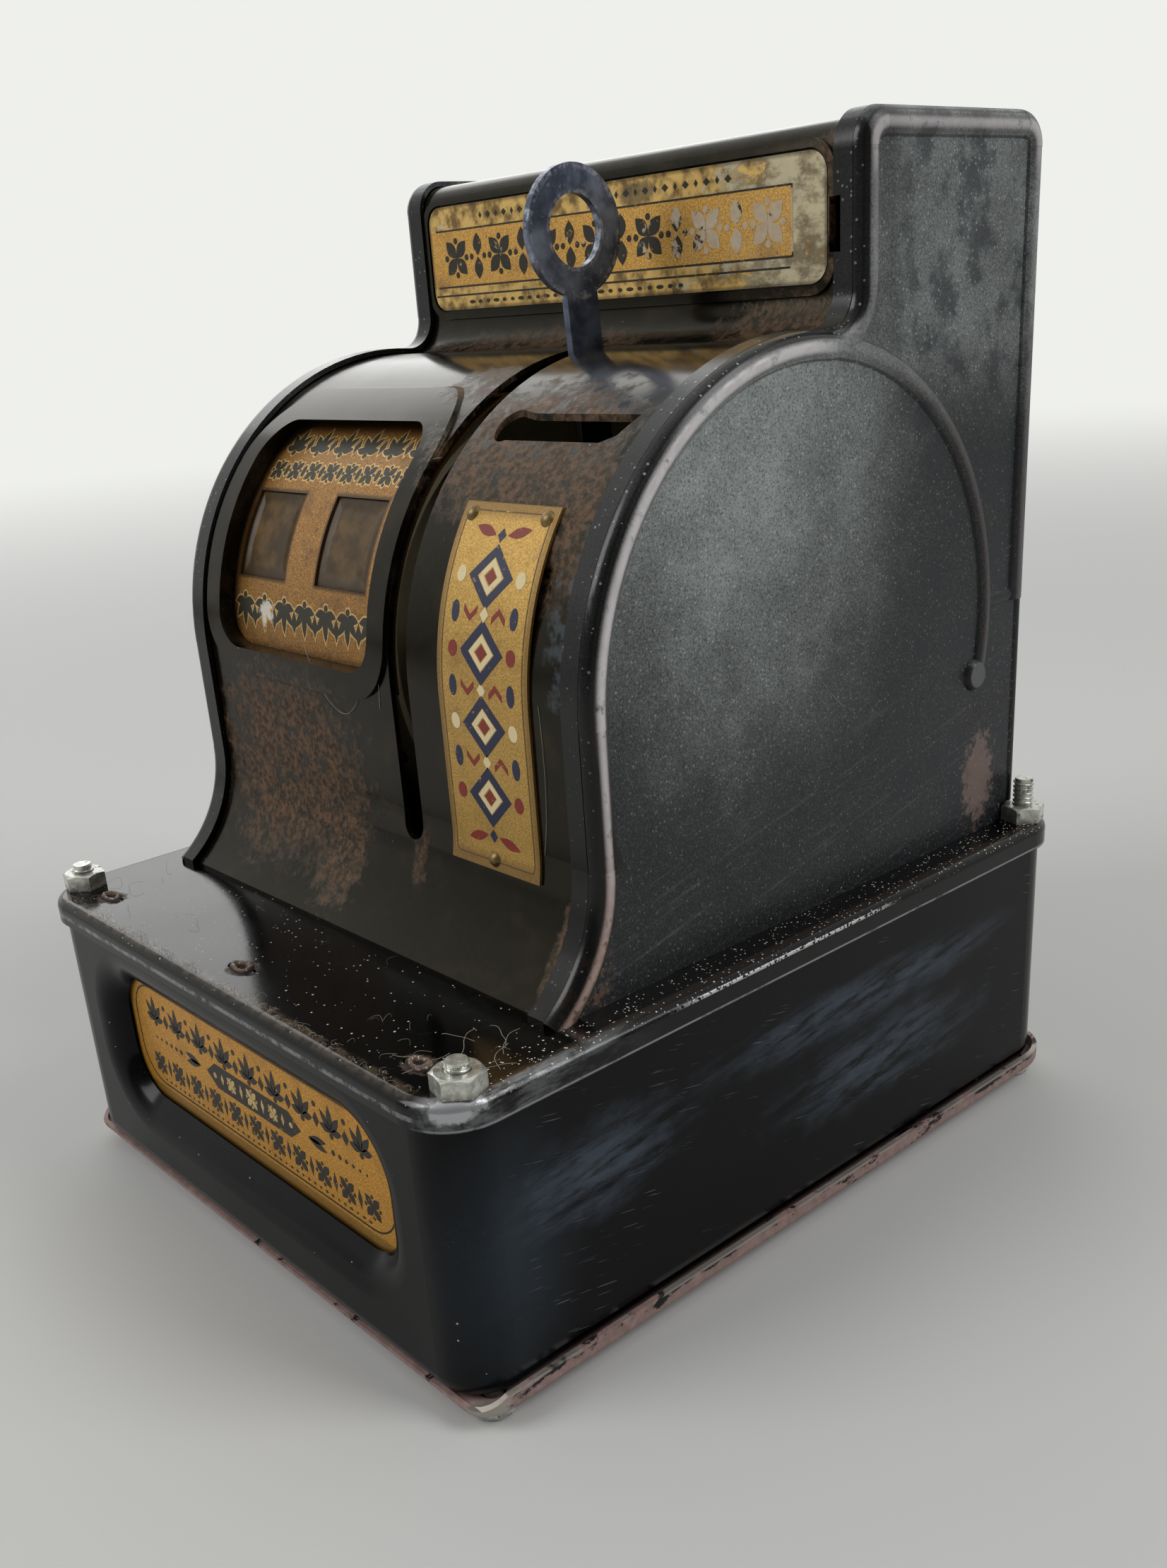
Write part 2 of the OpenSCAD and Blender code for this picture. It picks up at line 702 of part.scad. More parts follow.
// Pressed side plate: a panel, rolled beads, a flange over the front and two tabs.
// Where two stretches of bead meet, the slimmer one starts a little inside the other
module side_plate() {
    base_x = side_x - bead_r;
    low_r = 1.2;
    low_x = panel_x + 0.3 - low_r;
    corner_z = body_h - top_corner;
    step = 0.04;
    arc_r = bead_r - step;
    line_r = arc_r - step;
    cove_bead_r = line_r - step;
    rib_r = cove_bead_r - step;
    cross_r = bead_r - 0.6;
    nest = 0.25;
    cove_nest = nest / (cove_r + bead_r) * 180 / PI;
    rib_nest = nest / (drum_r - bead_r) * 180 / PI;
    difference() {
        union() {
            across(panel_x - sheet, panel_x) side_area(bead_r);
            across(side_x - flange_w, base_x) side_shell(0, sheet);
            across(base_x, low_x) intersection() {
                side_shell(0, sheet);
                translate([back_y - 2 * sheet, 0]) square([2 * sheet, back_bead_h + bead_r]);
            }
            translate([base_x, 0, lid_top]) rotate([90, 0, 90]) {
                bead_arc(front_y - foot_r, foot_h, foot_r + bead_r, -56, 0, arc_r);
                bead_line(front_y + bead_r, foot_h - nest, axis_h - foot_h + 2 * nest, 90, line_r);
                bead_arc(axis_y, axis_h, drum_r - bead_r, cove_angle, 180, arc_r);
                // the front arc runs on round the back as a rib with a rounded end
                bead_arc(axis_y, axis_h, drum_r - bead_r, rib_end, cove_angle + rib_nest, rib_r);
                bead_arc(cove_y, cove_z, cove_r + bead_r, 180 + cove_angle - cove_nest,
                    360 + cove_nest, cove_bead_r);
                bead_line(block_y + bead_r, cove_z, corner_z - cove_z + nest, 90, line_r);
                bead_arc(block_y + top_corner, corner_z, top_corner - bead_r, 90, 180, arc_r);
                bead_line(block_y + top_corner - nest, body_h - bead_r,
                    block_d - 2 * top_corner + 2 * nest, 0, line_r);
                bead_arc(back_y - top_corner, corner_z, top_corner - bead_r, 0, 90, arc_r);
                bead_line(back_y - bead_r, back_bead_h, corner_z - back_bead_h + nest, 90, line_r);
                // cross bead from the rib to the back
                bead_line(axis_y + drum_r - bead_r, back_bead_h + 0.9,
                    back_y - axis_y - drum_r, 0, cross_r);
                intersection() {
                    translate([axis_y + (drum_r - bead_r - 0.8) * cos(rib_end),
                        axis_h + (drum_r - bead_r - 0.8) * sin(rib_end), 0]) sphere(r = bead_r + 0.7);
                    translate([0, -far, 0]) cube([2 * far, 2 * far, bead_r - 0.05]);
                }
            }
            translate([low_x, 0, lid_top]) rotate([90, 0, 90])
                bead_line(back_y - low_r - step, 0, back_bead_h + 1, 90, low_r);
        }
        translate([0, -far, lid_top - 10]) cube([far, 2 * far, 10]);
        nut_room();
    }
    for (y = side_tabs) translate([panel_x - sheet, y - side_tab_w / 2, lid_top - 2.5])
        cube([sheet, side_tab_w, 3.5]);
}

module right_side_plate() {
    color("#26282b") difference() {
        side_plate();
        translate([side_x - flange_w - 1, block_y - 2, lid_top + slit_low])
            cube([slit_w, 4, slit_h]);
    }
}

module left_side_plate() {
    color("#26282b") mirror([1, 0, 0]) side_plate();
}

// Upright prism through the front: a drawing in x and height, pushed back to depth y
module through_front(y) {
    translate([0, y, lid_top]) rotate([90, 0, 0]) linear_extrude(y + far) children();
}

module window_shape(grow) {
    translate([(window_left + window_right) / 2, window_low + window_h / 2])
        round_rect(window_right - window_left + 2 * grow, window_h + 2 * grow, window_corner + grow);
}

module marquee_shape(grow) {
    translate([0, body_h - marquee_drop - marquee_h / 2])
        round_rect(marquee_w + 2 * grow, marquee_h + 2 * grow, marquee_corner + grow);
}

// Coin slot seen from above: a canoe with a raised left end and a pointed right end
module coin_slot_shape() {
    half = coin_w / 2;
    low = coin_h / 2;
    translate([-half + 2.5, 0.2]) circle(r = 2.5);
    polygon([
        [-half + 2.5, -low], [half - 4, -low], [half - 1.6, -low + 1], [half, low],
        [half - 5, low], [-half + 6, low], [-half + 2.5, low + 0.6]
    ]);
}

module at_narrow_rivets() {
    rise = narrow_low + narrow_h - 1.6 - axis_h;
    up = asin(rise / (drum_r - skin));
    for (sx = [-1, 1]) translate([coin_x + sx * (narrow_w / 2 - 2), axis_y, axis_z])
        rotate([90 - up, 0, 0]) translate([0, 0, drum_r - skin]) children();
    drop = asin((foot_h - narrow_low - 1.5) / (foot_r + skin));
    translate([coin_x, front_y - foot_r, lid_top + foot_h])
        rotate([90 - drop, 0, 0]) translate([0, 0, -foot_r - skin]) children();
}

// Front sheet: foot, round front, cove, block front and top in one bent piece
module front_sheet() {
    slot_back = axis_y - drum_r * sin(lever_lean) + stem_w / 2 + 0.6;
    color("#222222") difference() {
        union() {
            across(-front_edge, front_edge) intersection() {
                side_shell(skin, skin + sheet);
                translate([-far, -1]) square([far + back_y - 7, far]);
            }
            intersection() {
                across(-front_edge, front_edge) side_shell(skin - frame_h, skin + sheet);
                through_front(axis_y - axis_front) difference() {
                    window_shape(window_frame);
                    window_shape(0);
                }
            }
            intersection() {
                across(-front_edge, front_edge)
                    side_shell(skin + sheet, skin + register_depth - 0.3);
                through_front(axis_y - axis_front) difference() {
                    window_shape(sheet);
                    window_shape(0);
                }
            }
            intersection() {
                across(-front_edge, front_edge) side_shell(skin - frame_h, skin + sheet);
                through_front(block_y + 3 * skin) difference() {
                    marquee_shape(1.5);
                    marquee_shape(0.3);
                }
            }
        }
        through_front(axis_y - axis_front) window_shape(0);
        // lever slot, round at its lower end and square behind the lever
        across(slot_x - slot_w / 2, slot_x + slot_w / 2)
            translate([-far, slot_low + slot_w / 2]) square([far + slot_back, far]);
        through_front(axis_y) translate([slot_x, slot_low + slot_w / 2]) circle(r = slot_w / 2);
        translate([coin_x, axis_y - (drum_r - skin) * cos(coin_angle), axis_z])
            linear_extrude(drum_r) coin_slot_shape();
        translate([side_x - flange_w - 1, block_y, lid_top + slit_low])
            cube([slit_w, 2 * skin, slit_h]);
        at_narrow_rivets() translate([0, 0, -2 * sheet])
            cylinder(r = 0.6 + run_gap, h = 4 * sheet);
    }
}

// Back wall, with the turned corner that meets the front sheet on top
module back_sheet() {
    color("#222222") difference() {
        across(-front_edge, front_edge) intersection() {
            side_shell(skin, skin + sheet);
            translate([back_y - 6.9, 0]) square([far, far]);
        }
        translate([bell_x, back_y - 3 * skin, lid_top + bell_z]) rotate([-90, 0, 0])
            cylinder(r = 1.5 + run_gap, h = 3 * skin);
        nut_room();
    }
}

// Printed plate behind the window, with its two number openings
module register_plate() {
    outer = skin + register_depth;
    low = window_low - 3;
    high = window_low + window_h + 3;
    left = window_left - 4.5;
    right = window_right + 2.8;
    color("#b98a3a") difference() {
        union() {
            intersection() {
                across(left, right) side_shell(outer, outer + plate_t);
                through_front(axis_y - axis_front) translate([left, low])
                    square([right - left, high - low]);
            }
            // turned-out edges that rest against the front sheet
            intersection() {
                across(left, right) side_shell(skin + sheet, outer + plate_t);
                through_front(axis_y - axis_front) for (z = [low, high - plate_t])
                    translate([left, z]) square([right - left, plate_t]);
            }
        }
        for (x = [dollars_x, cents_x]) through_front(axis_y - axis_front)
            translate([x, axis_h + number_rise]) square([number_w, number_h], center = true);
    }
}

// Clear celluloid pane behind one number opening
module number_pane(x) {
    outer = skin + register_depth + plate_t + 0.05;
    intersection() {
        across(x - number_w / 2 - 1.2, x + number_w / 2 + 1.2) side_shell(outer, outer + 0.3);
        through_front(axis_y - axis_front) translate([x, axis_h + number_rise])
            square([number_w + 3, number_h + 3], center = true);
    }
}

module dollars_pane() {
    color("#c9b27a") number_pane(dollars_x);
}

module cents_pane() {
    color("#c9b27a") number_pane(cents_x);
}

// Printed plate across the front of the top block
module marquee_plate() {
    color("#b3873a") translate([0, block_y + skin - 0.02, lid_top]) rotate([90, 0, 0])
        linear_extrude(plate_t) marquee_shape(0);
}

// Narrow printed plate that follows the round front and the start of the foot
module narrow_plate() {
    color("#c79a34") difference() {
        intersection() {
            across(coin_x - narrow_w / 2, coin_x + narrow_w / 2)
                side_shell(skin - 0.03 - plate_t, skin - 0.03);
            through_front(axis_y) translate([coin_x - narrow_w / 2, narrow_low])
                square([narrow_w, narrow_h]);
        }
        at_narrow_rivets() translate([0, 0, -sheet]) cylinder(r = 0.6 + run_gap, h = 3 * sheet);
    }
}

// Three dome headed rivets of the narrow plate
module narrow_plate_rivets() {
    r = rivet_d / 2;
    rise = 0.7;
    ball = (r * r + rise * rise) / (2 * rise);
    color("#8a7440") at_narrow_rivets() {
        translate([0, 0, -sheet - 0.5]) cylinder(r = 0.6, h = sheet + 1);
        translate([0, 0, plate_t + 0.06]) intersection() {
            translate([0, 0, rise - ball]) sphere(r = ball);
            cylinder(r = r, h = rise);
        }
        translate([0, 0, -sheet - 0.65]) cylinder(r = 1, h = 0.5);
    }
}

// Outline of a frame plate: three corners at the tie rods and a boss for the axle
module works_plate(hole_r) {
    difference() {
        union() {
            polygon([front_rod, rear_rod, upper_rod]);
            for (p = [front_rod, rear_rod, upper_rod]) translate(p) circle(r = 6);
            translate([front_rod[0], 0]) square([rear_rod[0] - front_rod[0], 6]);
            translate([axis_y, axis_h]) circle(r = 10);
        }
        translate([axis_y, axis_h]) circle(r = hub_bore);
        for (p = [front_rod, rear_rod, upper_rod]) translate(p) circle(r = hole_r);
    }
}

module outer_frame_plate() {
    difference() {
        union() {
            across(works_x - works_t, works_x) works_plate(1.5 + run_gap);
            across(works_x - works_t, works_x + foot_flange) translate([front_rod[0], 0])
                square([rear_rod[0] - front_rod[0], works_t]);
        }
        for (y = foot_rivets) translate([foot_rivet_x, y, lid_top - 1])
            cylinder(r = works_rivet_r + run_gap, h = 4);
    }
}

module left_frame_plate() {
    color("#9b9a90") mirror([1, 0, 0]) outer_frame_plate();
}

module right_frame_plate() {
    color("#9b9a90") outer_frame_plate();
}

// Middle plate, carried by the tie rods and bored for the transfer shaft
module middle_frame_plate() {
    color("#9b9a90") across(middle_x, middle_x + works_t) difference() {
        works_plate(rod_d / 2 + run_gap);
        translate([axis_y + pinion_dist * cos(pinion_angle), axis_h + pinion_dist * sin(pinion_angle)])
            circle(r = 1.5 + run_gap);
    }
}

// Rivets that hold the outer frame plates' feet to the lid
module frame_rivets() {
    color("#9a9c9b") at_frame_rivets() {
        translate([0, 0, -sheet - 0.7]) cylinder(r = works_rivet_r, h = sheet + works_t + 1.4);
        translate([0, 0, works_t]) cylinder(r = 1.8, h = 0.9);
        translate([0, 0, -sheet - 0.8]) cylinder(r = 1.8, h = 0.8);
    }
}

// Tie rod with shoulders between the outer plates and riveted ends
module tie_rod(p) {
    inner = works_x - works_t;
    across(-inner, inner) translate(p) circle(r = rod_d / 2);
    across(-works_x - 0.6, works_x + 0.6) translate(p) circle(r = 1.5);
    for (x = [-works_x - 0.7, works_x]) across(x, x + 0.7) translate(p) circle(r = 2.2);
}

module front_tie_rod() {
    color("#a9aaa6") tie_rod(front_rod);
}

module rear_tie_rod() {
    color("#a9aaa6") tie_rod(rear_rod);
}

module upper_tie_rod() {
    color("#a9aaa6") tie_rod(upper_rod);
}

// Main axle, peened over outside both frame plates
module main_axle() {
    color("#a9aaa6") {
        across(-works_x - 0.8, works_x + 0.8) translate([axis_y, axis_h]) circle(r = axle_d / 2);
        for (x = [-works_x - 0.9, works_x + 0.05])
            across(x, x + 0.85) translate([axis_y, axis_h]) circle(r = axle_d / 2 + 0.9);
    }
}

// Number drum: a rim, a web at one end and a hub along the axle
module number_drum(x, web_x, hub_from, hub_to) {
    across(x - drum_w / 2, x + drum_w / 2) translate([axis_y, axis_h]) difference() {
        circle(r = number_r);
        circle(r = number_r - drum_wall);
    }
    across(web_x, web_x + drum_wall) translate([axis_y, axis_h]) difference() {
        circle(r = number_r - drum_wall / 2);
        circle(r = hub_bore);
    }
    across(hub_from, hub_to) translate([axis_y, axis_h]) difference() {
        circle(r = drum_hub_r);
        circle(r = hub_bore);
    }
}

// Cents drum, with the peg that carries over to the dollars
module cents_drum() {
    left = cents_x - drum_w / 2;
    color("#d8d2bd") {
        number_drum(cents_x, left, middle_x + works_t + 0.3, cents_x + drum_w / 2);
        across(left - 2, left + 0.2) translate([axis_y, axis_h]) rotate(75)
            translate([pinion_dist - 5.5, 0]) circle(r = 1.2);
    }
}

// Dollars drum; the gear is riveted against its web
module dollars_drum() {
    right = dollars_x + drum_w / 2;
    color("#d8d2bd") number_drum(dollars_x, right - drum_wall, -works_x + works_t + 0.3, right);
}

// Saw tooth ratchet with one tooth for each step of the cents drum
module cents_ratchet() {
    step = 360 / ratchet_teeth;
    low = ratchet_r - tooth_h;
    color("#a8a294") across(ratchet_x, ratchet_x + ratchet_w) translate([axis_y, axis_h])
        difference() {
            rotate(cents_stop + 3.5) polygon([
                for (i = [0:ratchet_teeth - 1], end = [0, 1])
                    (end == 0 ? low : ratchet_r) * [cos(i * step - 0.6 + 0.6 * end),
                        sin(i * step - 0.6 + 0.6 * end)]
            ]);
            circle(r = hub_bore);
        }
}

// Toothed outline: teeth of trapezoid form, the first centred on +X
module toothed(teeth, pitch_r, fill) {
    step = 360 / teeth;
    low = pitch_r - 1.15 * gear_module;
    high = pitch_r + 0.9 * gear_module;
    polygon([
        for (i = [0:teeth - 1], corner = [0:3]) let (
            r = (corner == 0 || corner == 3) ? low : high,
            half = step * fill * ((corner == 0 || corner == 3) ? 0.29 : 0.11),
            a = i * step + (corner < 2 ? -half : half)
        ) [r * cos(a), r * sin(a)]
    ]);
}

// Gear on the dollars drum
module dollars_gear() {
    color("#a8a294") across(gear_x, gear_x + gear_w) translate([axis_y, axis_h]) difference() {
        rotate(pinion_angle) toothed(gear_teeth, gear_pitch_r, 1);
        circle(r = hub_bore);
    }
}

// Transfer pinion and its star wheel on one short shaft
module transfer_pinion() {
    place = [axis_y + pinion_dist * cos(pinion_angle), axis_h + pinion_dist * sin(pinion_angle)];
    lobes = 6;
    color("#a8a294") {
        across(gear_x + 0.3, gear_x + gear_w) translate(place)
            rotate(180 + pinion_angle + 180 / pinion_teeth)
                toothed(pinion_teeth, pinion_pitch_r, 0.95);
        across(gear_x + 0.3, star_x + star_w) translate(place) circle(r = 1.5);
        across(star_x, star_x + star_w) translate(place) rotate(pinion_angle - 30) polygon([
            for (i = [0:2 * lobes - 1])
                (i % 2 == 0 ? 6.9 : 3.2) * [cos(i * 180 / lobes), sin(i * 180 / lobes)]
        ]);
    }
}

// Detent arm on the rear tie rod. Its nose drops into the teeth towards the axis; the
// arm is drawn lifted clear of their tips, as it stands while a tooth goes by
module detent_arm(x, nose_r, angle, nose_w) {
    point = [axis_y + detent_point * cos(angle), axis_h + detent_point * sin(angle)];
    reach = point - rear_rod;
    across(x, x + pawl_w) translate(rear_rod) rotate(detent_lift) difference() {
        union() {
            circle(r = rod_d / 2 + 2);
            rotate(atan2(reach[1], reach[0])) translate([0, -1.5]) square([norm(reach), 3]);
            translate([axis_y, axis_h] - rear_rod) rotate(angle) polygon([
                [nose_r, nose_w / 2], [nose_r, -nose_w / 2],
                [detent_point + 1, -1.2], [detent_point + 1, 1.2]
            ]);
        }
        circle(r = rod_d / 2 + run_gap);
    }
}

module detent_pawl() {
    color("#b0aca0") detent_arm(pawl_x, ratchet_r - 1.5, cents_stop, 1);
}

module dollars_detent() {
    color("#b0aca0") detent_arm(gear_x + 0.2, gear_pitch_r - 0.2, dollars_stop, 0.8);
}

// Two leaf springs on the lid that press the detent arms into their teeth
module detent_springs() {
    tip_y = rear_rod[0] - 12;
    tip_z = rear_rod[1] + 0.15;
    color("#7f7d76") for (x = [pawl_x, gear_x + 0.2]) across(x - 0.8, x + pawl_w + 0.6) polygon([
        [tip_y - 24, 0], [tip_y - 15.8, 0], [tip_y, tip_z - 0.6], [tip_y, tip_z],
        [tip_y - 16.1, 0.5], [tip_y - 24, 0.5]
    ]);
}

// Pressed bell, open towards the back wall
module bell() {
    color("#b8b6ae") translate([bell_x, bell_mouth_y + bell_sphere - bell_h, lid_top + bell_z])
        difference() {
            sphere(r = bell_sphere);
            sphere(r = bell_sphere - bell_wall);
            translate([-far, bell_h - bell_sphere, -far]) cube([2 * far, 2 * far, 2 * far]);
            rotate([90, 0, 0]) cylinder(r = 1.5 + run_gap, h = far);
        }
}

// Post that carries the bell from the back wall
module bell_post() {
    wall_y = back_y - skin;
    dome_y = bell_mouth_y - bell_h;
    color("#a9aaa6") translate([bell_x, 0, lid_top + bell_z]) {
        translate([0, wall_y + 0.7, 0]) rotate([90, 0, 0]) cylinder(r = 1.5, h = wall_y - dome_y + 2);
        translate([0, wall_y + 0.8, 0]) rotate([90, 0, 0]) cylinder(r = 2.4, h = 0.8);
        translate([0, wall_y - sheet, 0]) rotate([90, 0, 0])
            cylinder(r = 3, h = wall_y - sheet - dome_y - bell_wall - 0.35);
        translate([0, dome_y, 0]) rotate([90, 0, 0]) cylinder(r = 2.6, h = 1.2);
    }
}

// Clapper arm on the upper tie rod with its ball under the bell's rim
module bell_clapper() {
    ball_y = bell_mouth_y - 1;
    ball_z = bell_z - bell_r - ball_r - ball_gap;
    reach = norm([ball_y - upper_rod[0], ball_z - upper_rod[1]]);
    angle = atan2(ball_z - upper_rod[1], ball_y - upper_rod[0]);
    color("#a9aaa6") {
        across(bell_x - 0.6, bell_x + 0.6) difference() {
            union() {
                translate(upper_rod) circle(r = rod_d / 2 + 2);
                translate(upper_rod) rotate(angle) translate([0, -1.2]) square([reach, 2.4]);
            }
            translate(upper_rod) circle(r = rod_d / 2 + run_gap);
        }
        translate([bell_x, ball_y, lid_top + ball_z]) sphere(r = ball_r);
    }
}

// Finger lever: ring, stem and a boss on the hub
module lever_pull() {
    color("#2b3440") across(slot_x - lever_t / 2, slot_x + lever_t / 2)
        translate([axis_y, axis_h]) difference() {
            rotate(lever_lean) union() {
                circle(r = hub_r + 4);
                translate([-stem_w / 2, 0]) square([stem_w, lever_len - ring_d / 2 + 1.5]);
                translate([0, lever_len]) circle(r = ring_d / 2);
            }
            circle(r = hub_r + hub_fit);
            rotate(lever_lean) translate([0, lever_len]) circle(r = ring_hole_d / 2);
        }
}

// Hub tube that joins the lever, the drive arm and the coin carrier
module lever_hub() {
    color("#a9aaa6") across(arm_x - 0.1, coin_x + carrier_half - 0.2)
        translate([axis_y, axis_h]) difference() {
            circle(r = hub_r);
            circle(r = hub_bore);
        }
}

// Arm on the hub that carries the drive pawl
module drive_arm() {
    color("#9b9a90") across(arm_x, arm_x + works_t) translate([axis_y, axis_h]) difference() {
        union() {
            circle(r = hub_r + 3);
            rotate(pawl_angle) translate([0, -3]) square([pawl_r, 6]);
            rotate(pawl_angle) translate([pawl_r, 0]) circle(r = 3);
        }
        circle(r = hub_r + hub_fit);
        rotate(pawl_angle) translate([pawl_r, 0]) circle(r = 1.2 + hub_fit);
    }
}

module at_pawl_pin() {
    translate([axis_y + pawl_r * cos(pawl_angle), axis_h + pawl_r * sin(pawl_angle)]) children();
}

// Pin riveted into the drive arm
module pawl_pin() {
    color("#a9aaa6") {
        across(pawl_x - 0.5, arm_x + works_t + 0.5) at_pawl_pin() circle(r = 1.2);
        across(pawl_x - 0.6, pawl_x - 0.1) at_pawl_pin() circle(r = 1.9);
        across(arm_x + works_t, arm_x + works_t + 0.6) at_pawl_pin() circle(r = 1.7);
    }
}

// Pawl that pushes the cents ratchet; with no coin it is held clear of the teeth
module drive_pawl() {
    lift = 0.5;
    point = (ratchet_r + 3) * [cos(nose_angle), sin(nose_angle)] - [pawl_r, 0];
    color("#b0aca0") across(pawl_x, pawl_x + pawl_w) difference() {
        union() {
            at_pawl_pin() circle(r = 2.6);
            at_pawl_pin() rotate(pawl_angle + atan2(point[1], point[0])) translate([0, -1.2])
                square([norm(point), 2.4]);
            translate([axis_y, axis_h]) rotate(pawl_angle + nose_angle) polygon([
                [ratchet_r + lift, 0.4], [ratchet_r + lift, -0.4],
                [ratchet_r + 4, -1.3], [ratchet_r + 4, 1.3]
            ]);
        }
        at_pawl_pin() circle(r = 1.2 + run_gap);
    }
}

// Coin carrier: a pocket that takes the coin from the slot and drops it at the chute
module coin_carrier() {
    depth = pocket_gap + 2 * pocket_wall;
    color("#a8a294") translate([coin_x, axis_y, axis_z]) rotate([90 - coin_angle, 0, 0])
        difference() {
            union() {
                translate([-carrier_half, -depth / 2, 0]) cube([2 * carrier_half, depth, carrier_end]);
                rotate([0, 90, 0]) translate([0, 0, -carrier_half])
                    cylinder(r = hub_r + 2, h = 2 * carrier_half);
            }
            translate([-pocket_w / 2, -pocket_gap / 2, carrier_floor])
                cube([pocket_w, pocket_gap, far]);
            translate([-6, -depth, carrier_floor + 8]) cube([12, 2 * depth, far]);
            rotate([0, 90, 0]) translate([0, 0, -far / 2]) cylinder(r = hub_r + hub_fit, h = far);
        }
}

// One unbroken wire through the given rings: each ring is [centre, outward direction]
module wire(rings, r) {
    sides = 6;
    count = len(rings);
    points = [
        for (ring = rings, k = [0:sides - 1])
            ring[0] + r * cos(360 * k / sides) * ring[1] + r * sin(360 * k / sides) * [1, 0, 0]
    ];
    faces = [
        for (i = [0:count - 2], k = [0:sides - 1], half = [0, 1]) let (
            a = i * sides + k,
            b = i * sides + (k + 1) % sides
        ) half == 0 ? [a, b, b + sides] : [a, b + sides, a + sides]
    ];
    start = [for (k = [1:sides - 2]) [0, k + 1, k]];
    last = (count - 1) * sides;
    end = [for (k = [1:sides - 2]) [last, last + k, last + k + 1]];
    polyhedron(points = points, faces = concat(faces, start, end));
}

// Torsion spring of the lever, wound round the hub
module lever_return_spring() {
    steps = 8 * spring_turns;
    wire_r = spring_wire / 2;
    out = [0, 1, 0];
    leg_low = [spring_x, axis_y + spring_r, lid_top + 1.2];
    leg_high = [spring_x, axis_y + spring_r, axis_z - 1.5];
    coil = [
        for (i = [0:steps]) let (a = i * 45) [
            [spring_x + spring_pitch * a / 360, axis_y + spring_r * cos(a), axis_z + spring_r * sin(a)],
            [0, cos(a), sin(a)]
        ]
    ];
    last = coil[steps];
    short_leg = [[last[0] + [0, 0, -5], last[1]]];
    centres = [for (ring = coil) ring[0]];
    least = min([for (i = [0:steps - 8]) norm(centres[i + 8] - centres[i])]) - spring_wire;
    echo(str("least gap between the lever spring's turns, mm: ", least));
    color("#8c8e8f") wire(concat([[leg_low, out], [leg_high, out]], coil, short_leg), wire_r);
}

base_lid();
base_box();
bottom_plate();
base_screws();
base_nuts();
door_hanger();
door_hinge_pin();
coin_door();
door_latch();
latch_rivet();
left_side_plate();
right_side_plate();
front_sheet();
back_sheet();
register_plate();
dollars_pane();
cents_pane();
marquee_plate();
narrow_plate();
narrow_plate_rivets();
left_frame_plate();
middle_frame_plate();
right_frame_plate();
frame_rivets();
front_tie_rod();
rear_tie_rod();
upper_tie_rod();
main_axle();
cents_drum();
cents_ratchet();
dollars_drum();
dollars_gear();
transfer_pinion();
detent_pawl();
dollars_detent();
detent_springs();
bell();
bell_post();
bell_clapper();
lever_pull();
lever_hub();
drive_arm();
pawl_pin();
drive_pawl();
coin_carrier();
lever_return_spring();
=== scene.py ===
import math
import random
from functools import partial, reduce
from itertools import product

import bmesh
import bpy
from mathutils import Matrix, Vector


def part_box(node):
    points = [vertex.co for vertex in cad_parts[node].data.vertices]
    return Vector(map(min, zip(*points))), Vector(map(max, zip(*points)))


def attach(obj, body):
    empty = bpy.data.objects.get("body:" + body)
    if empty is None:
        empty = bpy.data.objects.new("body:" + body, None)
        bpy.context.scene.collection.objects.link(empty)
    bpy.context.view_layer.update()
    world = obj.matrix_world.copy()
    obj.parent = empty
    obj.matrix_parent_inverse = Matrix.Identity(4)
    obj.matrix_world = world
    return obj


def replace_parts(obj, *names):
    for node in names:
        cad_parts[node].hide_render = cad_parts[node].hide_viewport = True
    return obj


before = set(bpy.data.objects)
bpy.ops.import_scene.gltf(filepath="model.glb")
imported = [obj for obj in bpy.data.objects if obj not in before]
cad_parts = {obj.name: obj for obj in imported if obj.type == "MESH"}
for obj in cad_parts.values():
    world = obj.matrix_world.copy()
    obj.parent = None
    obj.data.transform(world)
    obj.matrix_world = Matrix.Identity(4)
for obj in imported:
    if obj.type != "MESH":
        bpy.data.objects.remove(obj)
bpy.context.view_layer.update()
scene = bpy.context.scene
scene.view_settings.view_transform = "Standard"


# Bottom plate: a shallow pressed tray that closes the box. Most of the black on its
# turned-up rim has chipped away, down to a pinkish primer and, on the crest, bare steel.
def paint(colour):
    """A paint chip's colour, from 0 to 255, as light values. A pattern stays as it is."""
    if isinstance(colour, bpy.types.NodeSocket):
        return colour
    return [((c / 255 + 0.055) / 1.055) ** 2.4 if c > 10 else c / 255 / 12.92 for c in colour]


def add_node(tree, kind, inputs=None, **settings):
    node = tree.nodes.new(kind)
    for key, value in settings.items():
        setattr(node, key, value)
    for key, value in (inputs or {}).items():
        socket = node.inputs[key]
        if isinstance(value, bpy.types.NodeSocket):
            tree.links.new(value, socket)
        elif socket.type == "RGBA":
            socket.default_value = (*value[:3], 1)
        else:
            socket.default_value = value
    return node


def linked(kind, inputs, output=0, **settings):
    """An output of a new node, made in the tree that its first linked input belongs to."""
    source = next(value for value in inputs.values() if isinstance(value, bpy.types.NodeSocket))
    return add_node(source.id_data, kind, inputs, **settings).outputs[output]


def calc(operation, a, b=0.0, c=0.0):
    return linked("ShaderNodeMath", {0: a, 1: b, 2: c}, operation=operation)


def vector(operation, a, b=(0, 0, 0), output=0):
    return linked("ShaderNodeVectorMath", {0: a, 1: b}, output, operation=operation)


def both(*masks):
    return reduce(partial(calc, "MULTIPLY"), masks)


def either(*masks):
    return reduce(partial(calc, "MAXIMUM"), masks)


